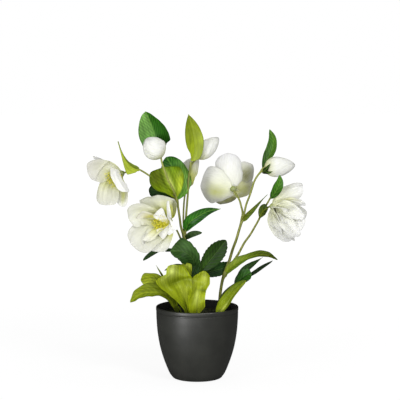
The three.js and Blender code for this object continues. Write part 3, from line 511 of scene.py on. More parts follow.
stem_green, tree, body = shader("stem_green", Roughness=0.5, Specular_IOR_Level=0.25)
where = add(tree, "TexCoord").outputs["Object"]
streak = add(tree, "Mapping", {"Vector": where, "Scale": (1, 1, 0.12)}).outputs[0]
grain = add(tree, "TexNoise", {"Vector": streak, "Scale": 1 / (1.2 * MM), "Detail": 3.0}).outputs[0]
skin = ramp(tree, grain, (0.3, hexed("#525a1e")), (0.5, hexed("#747a34")), (0.7, hexed("#9c9a56")))
height = add(tree, "SeparateXYZ", {0: where}).outputs["Z"]
paler_higher = add(tree, "MapRange", {"Value": height, "From Min": PALE_FROM, "From Max": PALE_TO,
                               "To Max": 0.4}).outputs[0]
tree.links.new(mix_colours(tree, paler_higher, skin, hexed("#a8b060")), body.inputs["Base Color"])
relief(tree, body, grain, 0.15, 0.5)
finish_piece(spray("left_spray", **LEFT_SPRAY), stem_green, "stem", "stems_left")
finish_piece(spray("right_spray", **RIGHT_SPRAY), stem_green, "stem", "stems_right")

# ---------------------------------------------------------------- leaves and bracts on the sprays
# Thin green blades with a pressed-in midrib and side veins, each grown from a fork or under a bud.
# A blade is a strip lofted along a smooth route, and its thickness runs out towards its margin.

LEAF_THICK = 0.7
BLADE_ROWS = 48
BLADE_COLUMNS = 24
ROWS_A_TOOTH = 9  # rows that a toothed blade has at least for each of its teeth
LEAST_HALF = 0.3  # half width that no part of a blade goes below
LEAST_ROUNDING = 0.6  # least radius of a blade's end
CRUMPLE_SIZE = (5, 7)  # size of a blade's unevenness, across and along
RUFFLE_SIZE = (2.6, 3)  # size of the ruffles of its edge
MIDRIB = 0.9  # half width of the pressed-in midrib
MARGIN = 0.86  # part of the half width beyond which the margin's brightness sets in: below 1 on petals a painted grey shade, above 1 a painted highlight


def outline(t, p, q):
    """Half width along a blade, 1 at its widest: p draws in the base and q the tip."""
    widest = p / (p + q)
    return (t / widest) ** p * ((1 - t) / (1 - widest)) ** q


def smooth_noise(rng, x, y, waves=5):
    """A gentle random field over x and y, about -1 to 1, from a few sine waves."""
    field = 0
    for _ in range(waves):
        turn, shift = rng.uniform(0, 2 * math.pi, 2)
        pace = rng.uniform(0.6, 1.6)
        field = field + np.sin(pace * (x * math.cos(turn) + y * math.sin(turn)) + shift)
    return field / waves**0.5


def half_widths(t, s, length, width, p, q, neck, tip, corner, left, right, teeth, tooth):
    """The half width of a blade at each place: its outline, what each side is widened by, its
    teeth and its rounded end."""
    half = np.maximum(width / 2 * outline(t, p, q), neck + (tip - neck) * t)
    wider = [np.interp(t, *zip(*edge)) for edge in (left, right)]
    half = np.maximum(half + np.where(s < 0, *wider) * np.ones_like(s), LEAST_HALF)
    if teeth:
        saw = (t * teeth) % 1
        half = half + tooth * (saw - 0.5) * np.clip((t - 0.2) * 5, 0, 1) * np.clip((0.97 - t) * 20, 0, 1)
    rounding = (corner or max(tip, LEAST_ROUNDING)) / length
    close = np.clip((t - (1 - rounding)) / rounding, 0, 1)
    return half * np.sqrt(1 - close**2)


def skin_heights(t, s, half, length, rng, wave, pleats, swells, crumple, ruffle, curl, rib, veins, quilt):
    """What a blade's skin adds to its curled cross section: waves, folds, bulges, crumples, a
    ruffled edge, the bent tip, the sunk midrib and the panels between side veins."""
    lift = wave[0] * s**2 * np.sin(2 * math.pi * (wave[1] * t + wave[2]) + s)
    for first, last, height, breadth in pleats:
        crest = first + (last - first) * t
        lift = lift + height * np.exp(-((s - crest) / breadth) ** 2) * np.sin(math.pi * t**0.7) ** 0.5
    for part, place, height, reach, breadth in swells:
        lift = lift + height * np.exp(-((t - part) / reach) ** 2 - ((s - place) / breadth) ** 2)
    free = np.clip(4 * t, 0, 1)
    if crumple:
        across, along = CRUMPLE_SIZE
        lift = lift + crumple * free * smooth_noise(rng, half * s / across, length * t / along)
    if ruffle:
        across, along = RUFFLE_SIZE
        edge = np.abs(s) ** 3 + np.clip((t - 0.75) * 4, 0, 1) ** 2 * (1 - np.abs(s) ** 3)
        lift = lift + ruffle * free * edge * smooth_noise(rng, half * s / across, length * t / along)
    lift = lift + curl * np.clip((t - 0.65) / 0.35, 0, 1) ** 2
    lift = lift - rib * np.exp(-((half * s) / MIDRIB) ** 2) * (1 - t)
    panel = 1 - 2 * np.abs((((length * t - veins[1] * half * np.abs(s)) / veins[0]) % 1) - 0.5)
    return lift + quilt * panel * np.clip(np.abs(s) * 5, 0, 1) * (1 - s**4)


def blade_faces(rows, columns):
    """Faces of a blade's upper and lower skin, its two margins and its foot. The last row closes
    into one point on each skin."""
    tip_point = rows * (columns + 1)
    low = tip_point + 1  # the lower skin's first point

    def at(row, column, skin):
        """Number of a point of a skin that starts at that number."""
        return skin + (row * (columns + 1) + column if row < rows else tip_point)

    faces = []
    for j in range(rows):
        for c in range(columns):
            a, b, d, e = at(j, c, 0), at(j, c + 1, 0), at(j + 1, c + 1, 0), at(j + 1, c, 0)
            faces.append((b, a, e, d) if j < rows - 1 else (b, a, d))
            a, b, d, e = (k + low for k in (a, b, d, e))
            faces.append((a, b, d, e) if j < rows - 1 else (a, b, d))
        for c, flip in ((0, True), (columns, False)):
            ring = (at(j, c, 0), at(j + 1, c, 0), at(j + 1, c, low), at(j, c, low))
            faces.append(ring[::-1] if flip else ring)
    for c in range(columns):
        faces.append((at(0, c, 0), at(0, c + 1, 0), at(0, c + 1, low), at(0, c, low)))
    return faces


def blade_tint(t, s, tones, stains, rim, foot):
    """A blade's colour at each place, with the strength of a petal's green foot as its alpha."""
    left_base, left_tip, right_base, right_tip = (np.array(hexed(tone)[:3]) for tone in (*tones, *tones)[:4])
    along = t[..., None]
    over = np.clip(0.5 + 3 * s, 0, 1)[..., None]
    tint = (1 - over) * ((1 - along) * left_base + along * left_tip)
    tint = tint + over * ((1 - along) * right_base + along * right_tip)
    # patches of real colour, and patches of painted highlight and painted shade
    for part, place, reach, breadth, tone in stains:
        share = np.exp(-((t - part) / reach) ** 2 - ((s - place) / breadth) ** 2)[..., None]
        tint = (1 - share) * tint + share * np.array(hexed(tone)[:3])
    tint = tint * (1 - (1 - rim) * np.clip((np.abs(s) - MARGIN) * 7, 0, 1))[..., None]
    return np.concatenate([tint, np.full((*tint.shape[:2], 1), foot)], 2)


def blade(route, face, width, p=0.8, q=0.8, neck=1.0, tip=0.4, corner=None, left=((0, 0),), right=((0, 0),),
          teeth=0, tooth=1.2, cup=0.3, fold=0.1, wave=(0, 1, 0), pleats=(), swells=(), crumple=0.0,
          ruffle=0.0, ragged=0.0, curl=0.0, rib=0.45, veins=(6.0, 1.1), quilt=0.25, thick=LEAF_THICK,
          tones=("#4d7d2b", "#4d7d2b"), stains=(), rim=0.7, foot=1.0, seed=0):
    """The points and faces of a leaf, a bract or a petal, and what its finish reads at each point.
    t runs from 0 at its foot to 1 at its tip, and s from -1 at its left margin to 1 at its right.

    route        the way from foot to tip; face: where its upper side looks at both ends
    width        its full width, drawn in by p at the base and by q at the tip
    neck, tip    least half width at the foot and at the tip, whose corners have the radius corner
    left, right  what a side is widened by, as (part of length, mm)
    teeth, tooth number of teeth on a side, and their depth
    cup, fold    how far the sides curl up, and how sharply they meet at the midrib
    wave         height, number and start of the waves along the sides
    pleats       long folds, as (side at base, side at tip, height, breadth)
    swells       bulges, as (part of length, side, height, length, breadth)
    crumple      unevenness of the whole skin; ruffle: of its edge; ragged: of its end
    curl         how far the tip bends up; rib: depth of the midrib
    veins        spacing and slant of the side veins; quilt: height of the panels between them
    tones        base and tip, or base and tip of the left side and then of the right
    stains  patches of real colour, painted highlights and painted shade, as
             (part of length, side, length, breadth, tone)
    rim, foot    brightness of the margin, and strength of a petal's green foot"""
    rng = np.random.default_rng(seed)
    rows, columns = max(BLADE_ROWS, ROWS_A_TOOTH * teeth), BLADE_COLUMNS
    even = np.linspace(0, 1, rows + 1)
    t = (1 - (1 - even) ** (1.15 if teeth else 1.5))[:, None]  # rows stand closer towards the tip
    s = np.linspace(-1, 1, columns + 1)[None, :]
    centre, tangent, length = smooth_route(route, t[:, 0])
    up = (1 - t) * np.array(face[0], float) + t * np.array(face[1], float)
    up = up - tangent * np.sum(up * tangent, 1, keepdims=True)
    up /= np.linalg.norm(up, axis=1, keepdims=True)
    side = np.cross(tangent, up)

    half = half_widths(t, s, length, width, p, q, neck, tip, corner, left, right, teeth, tooth)
    slope = fold + cup * np.abs(s)
    across = half * (np.sin(slope) - math.sin(fold)) / cup * np.sign(s)
    lift = half * (math.cos(fold) - np.cos(slope)) / cup
    lift = lift + skin_heights(t, s, half, length, rng, wave, pleats, swells, crumple, ruffle, curl, rib,
                               veins, quilt)
    centre = centre[:, None, :]
    if ragged:
        uneven = ragged * np.clip((t - 0.6) / 0.4, 0, 1) ** 2 * smooth_noise(rng, 5 * s, 0 * s)
        centre = centre + tangent[:, None, :] * uneven[..., None]
    surface = centre + side[:, None, :] * across[..., None] + up[:, None, :] * lift[..., None]

    normal = np.cross(np.gradient(surface, axis=1), np.gradient(surface, axis=0))
    normal /= np.maximum(np.linalg.norm(normal, axis=2, keepdims=True), 1e-9)
    half_thick = thick / 2 * (0.3 + 0.7 * (1 - np.abs(s) ** 3)) * (1 - 0.6 * t**4)
    offset = normal * half_thick[..., None]
    skins = (surface - offset, surface + offset)
    points = np.vstack([part for skin in skins for part in (skin[:-1].reshape(-1, 3), skin[-1, :1])])

    def per_point(values):
        """Values in the order of the points, once for each skin."""
        flat = values[:-1].reshape(-1, values.shape[2])
        once = np.vstack([flat, values[-1, columns // 2][None, :]])
        return np.vstack([once, once])

    lay = np.stack([half * s + 0 * t, length * t + 0 * s, half + 0 * s], 2)
    place = np.stack([0.5 + 0.5 * s + 0 * t, t + 0 * s], 2)
    return dict(points=points, faces=blade_faces(rows, columns), lay=per_point(lay), place=per_point(place),
                tint=per_point(blade_tint(t, s, tones, stains, rim, foot)))


def plain_part(points, faces, tint, across):
    """A part of one colour, which lies that far from the midrib for its finish."""
    count = len(points)
    return dict(points=points, faces=faces, tint=np.tile(tint, (count, 1)),
                lay=np.tile([across, 0.0, 10.0], (count, 1)), place=np.tile([0.9, 0.0], (count, 1)))


def stalk(points, r0, r1, tone):
    """A leaf's round stalk, with what the leaf's finish reads."""
    return plain_part(*tube(points, r0, r1), hexed(tone), across=9.0)


def grown(name, parts):
    """One object from the blades and stalks that grow together."""
    starts = np.cumsum([0] + [len(part["points"]) for part in parts])
    faces = [tuple(k + start for k in face) for part, start in zip(parts, starts)
             for face in part["faces"]]
    made = mesh_object(name, np.vstack([part["points"] for part in parts]) * MM, faces)
    data = made.data
    tint = np.vstack([part["tint"] for part in parts])
    colour = data.attributes.new("tint", "FLOAT_COLOR", "POINT")
    colour.data.foreach_set("color", tint.ravel())
    lay = data.attributes.new("lay", "FLOAT_VECTOR", "POINT")
    lay.data.foreach_set("vector", np.vstack([part["lay"] for part in parts]).ravel())
    place = np.vstack([part["place"] for part in parts])
    corners = np.zeros(len(data.loops), int)
    data.loops.foreach_get("vertex_index", corners)
    data.uv_layers.new(name="UVMap").data.foreach_set("uv", place[corners].ravel())
    soften(made, 50)
    return made


def math_node(tree, operation, a, b=0.0, clamp=False):
    """A sum, product or other function of one or two values."""
    return add(tree, "Math", {0: a, 1: b}, operation=operation, use_clamp=clamp).outputs[0]


def fade(tree, value, start, end, low=0.0, high=1.0):
    """Runs smoothly from low to high while the value runs from start to end."""
    return add(tree, "MapRange", {"Value": value, "From Min": start, "From Max": end, "To Min": low,
                                  "To Max": high}, interpolation_type="SMOOTHSTEP").outputs[0]


def leaf_finish(name, veins, vein_tone, vein_mix, panel_shade_depth, streaks, roughness, gloss):
    """Leaf skin: the blade's colour, mottled and streaked along its length, with a paler midrib
    and side veins that run slanting to the margin. Between two veins the colour is painted darker
    towards the middle of the panel, as painted shade of its relief."""
    made, tree, body = shader(name, Roughness=roughness, Specular_IOR_Level=gloss)
    tint = add(tree, "Attribute", attribute_name="tint").outputs["Color"]
    lay = add(tree, "SeparateXYZ", {0: add(tree, "Attribute", attribute_name="lay").outputs["Vector"]})
    across, along, half = lay.outputs
    out = math_node(tree, "ABSOLUTE", across)
    run = math_node(tree, "SUBTRACT", along, math_node(tree, "MULTIPLY", out, veins[1]))
    wobble = math_node(tree, "MULTIPLY", place_noise(tree, 12), 2.5)
    phase = math_node(tree, "DIVIDE", math_node(tree, "ADD", run, wobble), veins[0])
    saw = math_node(tree, "PINGPONG", phase, 0.5)
    side_vein = fade(tree, saw, 0.0, 0.1, 1.0, 0.0)
    midrib = fade(tree, out, 0.2, 1.0, 1.0, 0.0)
    weight = fade(tree, out, 0.0, 14.0, 0.75, 0.2)
    vein = math_node(tree, "MAXIMUM", midrib, math_node(tree, "MULTIPLY", side_vein, weight), True)
    # painted shade: the colour darkens towards the middle of each panel between side veins
    panel = fade(tree, saw, 0.05, 0.5, 1.0 + panel_shade_depth / 2, 1.0 - panel_shade_depth)
    mottle = fade(tree, place_noise(tree, 14, 4.0), 0.3, 0.7, 0.82, 1.15)
    long_way = add(tree, "CombineXYZ", {0: across, 1: math_node(tree, "MULTIPLY", along, 0.05)}).outputs[0]
    streak = add(tree, "TexNoise", {"Vector": long_way, "Scale": 0.45, "Detail": 2.0}).outputs[0]
    streak = fade(tree, streak, 0.3, 0.7, 1.0 - streaks, 1.0 + streaks)
    deep = math_node(tree, "MULTIPLY", math_node(tree, "MULTIPLY", panel, mottle), streak)
    uneven = add(tree, "VectorMath", {0: tint}, operation="SCALE")
    tree.links.new(deep, uneven.inputs["Scale"])
    skin = mix_colours(tree, math_node(tree, "MULTIPLY", vein, vein_mix), uneven.outputs[0],
                       hexed(vein_tone))
    tree.links.new(skin, body.inputs["Base Color"])
    grain = place_noise(tree, 0.7, 2.0)
    height = math_node(tree, "SUBTRACT", math_node(tree, "MULTIPLY", grain, 0.25), vein)
    relief(tree, body, height, 0.14, 0.7)
    return made


# Veins are the spacing of the side veins in millimetres, and how far they run ahead for each
# millimetre across. The four kinds of leaf are yellow-green, olive, fresh green and dark.
LEAF_SKINS = {
    "light_leaf": dict(veins=(8.0, 4.0), vein_tone="#a0ac38", vein_mix=0.16, panel_shade_depth=0.06,
                       streaks=0.18, roughness=0.4, gloss=0.17),
    "olive_leaf": dict(veins=(7.0, 1.4), vein_tone="#a6b022", vein_mix=0.3, panel_shade_depth=0.1,
                       streaks=0.2, roughness=0.45, gloss=0.12),
    "green_leaf": dict(veins=(6.5, 1.6), vein_tone="#7fb044", vein_mix=0.35, panel_shade_depth=0.22,
                       streaks=0.3, roughness=0.4, gloss=0.18),
    "dark_leaf": dict(veins=(6.0, 1.1), vein_tone="#5b7a34", vein_mix=0.22, panel_shade_depth=0.15,
                      streaks=0.25, roughness=0.45, gloss=0.14),
}
LEAF_FINISHES = {kind: leaf_finish(kind + "_skin", **skin) for kind, skin in LEAF_SKINS.items()}

# A leaf's slot is its kind, and bracts are the small dark blades that it shares its foot with.
# All its other values are its blade's.
SPRAY_LEAVES = [
    dict(name="leaf_behind_round_bud", slot="green_leaf", width=43, p=0.62, q=0.62, tip=2.5,
         route=[[-50, -13, 311], [-55, -1, 321], [-58, 4, 336], [-64, 3, 355], [-71, -2, 373]],
         face=[[-0.2, -1, 0.2], [-0.3, -1, -0.2]], cup=0.6, wave=[1, 2, 0.2],
         right=((0, 0), (0.05, 4), (0.1, 6), (0.2, 6.5), (0.3, 6), (0.5, 4), (0.7, 1), (0.8, 0)),
         # painted light: the left half's paler tones are a painted sheen, and the right half's darker ones
         # are painted shade
         tones=("#3c6c1c", "#6f9c4c", "#123c04", "#2f6c12"), seed=1, ruffle=0.5, crumple=0.4),
    dict(name="leaf_top_middle", slot="light_leaf", width=26, p=0.95, q=1.0, neck=1.5, tip=0.8,
         left=((0, 0), (0.06, -1), (0.15, -1.5), (0.3, 0)),
         right=((0, 0), (0.05, 3), (0.12, 4), (0.25, 2), (0.45, 1), (0.6, 0)),
         route=[[-8, 3, 304], [-4, 1, 316], [-4, 0, 333], [-7, -1, 350], [-12, -2, 369]],
         face=[[0.1, -1, 0.1], [-0.1, -1, 0.1]], cup=0.5, fold=0.1, seed=2,
         tones=("#8a9a1c", "#68780a", "#8e9e1e", "#7a8a0c"), ruffle=0.4, crumple=0.5),
    dict(name="leaf_by_right_bud", slot="green_leaf", width=18, p=0.9, q=0.8,
         route=[[91, 14, 290], [98, 23, 305], [105, 24, 320], [106, 22, 334], [101, 20, 347]],
         face=[[-0.6, -1, 0.2], [-0.5, -1, 0]], cup=0.5, fold=0.2, seed=3,
         tones=("#1f3a0c", "#447420", "#2c5012", "#5c8c2c"), ruffle=0.3, crumple=0.3,
         bracts=[dict(route=[[91, 10, 288], [94, 3, 291], [97, -1, 295], [101, -3, 301]], width=7),
                 dict(route=[[91, 10, 288], [95, 3, 288], [99, -1, 288], [104, -3, 290]], width=6)]),
    dict(name="leaf_above_right_bloom", slot="green_leaf", width=14, p=0.8, q=0.8,
         route=[[100, -36, 256], [105, -42, 263], [109, -47, 271], [112, -50, 280], [112, -52, 290]],
         face=[[-0.2, -1, 0.3], [-0.2, -1, 0.3]], cup=0.5, wave=[0.8, 2, 0.1], seed=4,
         right=((0, 0), (0.3, 0), (0.62, 1.2), (0.8, 0)), tones=("#2f5a14", "#3f7418")),
    dict(name="bract_on_left_stalk", slot="light_leaf", width=21, p=0.5, q=1.9, tip=0.7,
         route=[[-79, -28, 295], [-87, -33, 298], [-96, -35, 307], [-103, -34, 321], [-108, -32, 334]],
         face=[[0.1, -1, 0.5], [0.5, -1, 0.1]], cup=0.7, fold=0.25, neck=1.3, seed=5,
         left=((0, -1), (0.1, -4.5), (0.18, 1), (0.27, 11), (0.34, 5.5), (0.45, 1), (0.55, 0),
               (0.85, 0.8), (1, 0.3)),
         right=((0, -1), (0.06, -4.5), (0.14, -5.5), (0.24, -6.5), (0.4, -6.5), (0.6, -4),
                (0.85, -0.2), (1, 0.3)),
         crumple=0.4, tones=("#aebe34", "#a8ba3c", "#76882a", "#38441c")),
    dict(name="leaf_front_of_fork", slot="olive_leaf", width=52, p=0.75, q=0.36, neck=1.6, tip=4,
         route=[[-29, -7, 254], [-34, -8, 265], [-41, -9, 278], [-46, -9, 289], [-48, -8, 296]],
         face=[[0.1, -1, 0.2], [0, -1, 0.3]], cup=0.6, wave=[1.5, 2, 0.3], seed=6,
         left=((0, 0), (0.15, -4), (0.32, -6), (0.5, -2), (0.7, 1), (1, 0)), crumple=0.8, ruffle=0.6,
         stains=[(0.8, -0.5, 0.3, 0.5, "#56640a"), (0.45, 0.1, 0.4, 0.12, "#b4c060"),
                 (0.3, 0.7, 0.3, 0.3, "#a4b430")],
         tones=("#7c9008", "#56740a", "#86a010", "#5e7c0c")),
    dict(name="leaf_behind_fork", slot="green_leaf", width=44, p=0.7, q=0.6, neck=1.6, tip=2,
         right=((0, 0), (0.35, 0), (0.6, -3), (0.85, -3), (1, -1)),
         route=[[-26, -2, 251], [-26, 4, 264], [-29, 9, 280], [-35, 11, 296], [-43, 11, 309]],
         face=[[0.1, -1, 0.2], [0, -1, 0.1]], cup=0.35, wave=[1.2, 2, 0.1],
         seed=7, crumple=0.6, ruffle=0.5, stains=[(0.4, 0.6, 0.3, 0.5, "#7cac48")],
         tones=("#5c8c24", "#0f4a0a", "#5c9430", "#1c5c14")),
    dict(name="leaf_low_left_of_fork", slot="dark_leaf", width=21, p=0.6, q=0.3, tip=5,
         route=[[-29, -6, 251], [-39, -5, 257], [-52, -3, 262], [-67, -2, 265]],
         face=[[0, -1, 0.3], [-0.1, -1, 0.1]], cup=0.3, seed=8, crumple=0.4,
         tones=("#1c3a06", "#123206")),
    dict(name="bract_at_right_fork", slot="olive_leaf", width=11, p=0.4, q=1.5, tip=0.6,
         route=[[62, -3, 221], [68, -8, 230], [76, -10, 238], [87, -9, 249], [97, -11, 259]],
         face=[[0.5, -1, -0.3], [0.5, -1, -0.5]], cup=0.5, fold=0.3, neck=1.8,
         seed=9, tones=("#7a8418", "#4a6420", "#5a6a18", "#34501c")),
    dict(name="bract_under_right_bloom", slot="olive_leaf", width=16, p=1.2, q=0.4, tip=3,
         route=[[85, -24.4, 226], [89, -30, 236], [93, -35, 241], [97, -38, 243]],
         face=[[-0.3, -1, 0.4], [-0.2, -1, 0.4]], cup=0.5, seed=10,
         tones=("#4e5e1a", "#263a10")),
    dict(name="leaf_right_of_left_fork", slot="green_leaf", width=18, p=0.6, q=1.15, neck=2,
         route=[[-16, -3, 207], [-11, -7, 219], [2, -11, 229], [16, -13, 236], [33, -11, 239]],
         face=[[0.2, -1, 0.3], [0, -1, 0.2]], cup=0.4, fold=0.1, seed=11, crumple=0.4,
         ruffle=0.5, tip=0.3, tones=("#2f6c14", "#1c4412", "#1f5a10", "#143c10")),
    dict(name="small_leaf_at_left_fork", slot="dark_leaf", width=9, p=0.6, q=0.7, neck=1.6,
         route=[[-17, -4, 196], [-10, -9, 202], [-2, -12, 205], [7, -13, 206]],
         face=[[0, -1, 0.3], [0, -1, 0.1]], cup=0.4, tones=("#2c461c", "#34482c")),
    dict(name="arching_leaf_right", slot="olive_leaf", width=17, p=0.5, q=0.45,
         route=[[39, 0, 146], [46, -6, 155], [55, -11, 163], [67, -16, 170], [81, -19, 175],
                [96, -21, 175], [111, -21, 169]],
         face=[[-0.3, -1, 0.4], [0.2, -0.3, 1]], cup=0.5, neck=3, seed=12, crumple=0.5, tip=1.5,
         left=((0, 0), (0.3, 0), (0.5, -2), (0.7, 0)), right=((0, 0), (0.3, 0), (0.5, -3), (0.7, -0.5)),
         ruffle=0.5, stains=[(0.8, 0, 0.25, 2, "#46560e")],
         tones=("#7a8c24", "#3c5a14", "#66801c", "#4c6c18")),
]
BUD_BRACT = dict(face=[[0, -1, 0.3], [0, -1, 0.3]], p=0.5, q=1, cup=0.5, tones=("#2a3810", "#182808"))
for leaf in SPRAY_LEAVES:
    kind = leaf["slot"]
    shape = {key: value for key, value in leaf.items() if key not in ("name", "slot", "bracts")}
    parts = [blade(veins=LEAF_SKINS[kind]["veins"], **shape)]
    parts += [blade(**BUD_BRACT, **bract) for bract in leaf.get("bracts", ())]
    made = grown(f"grown_{leaf['name']}", parts)
    finish_piece(made, LEAF_FINISHES[kind], kind, leaf["name"])

# ---------------------------------------------------------------- leaves out of the soil
# Each stands in the soil on a stalk of its own, given as its route with its radius at foot and
# top. The dark ones part into leaflets at the stalk's top, and the others are one or two blades.

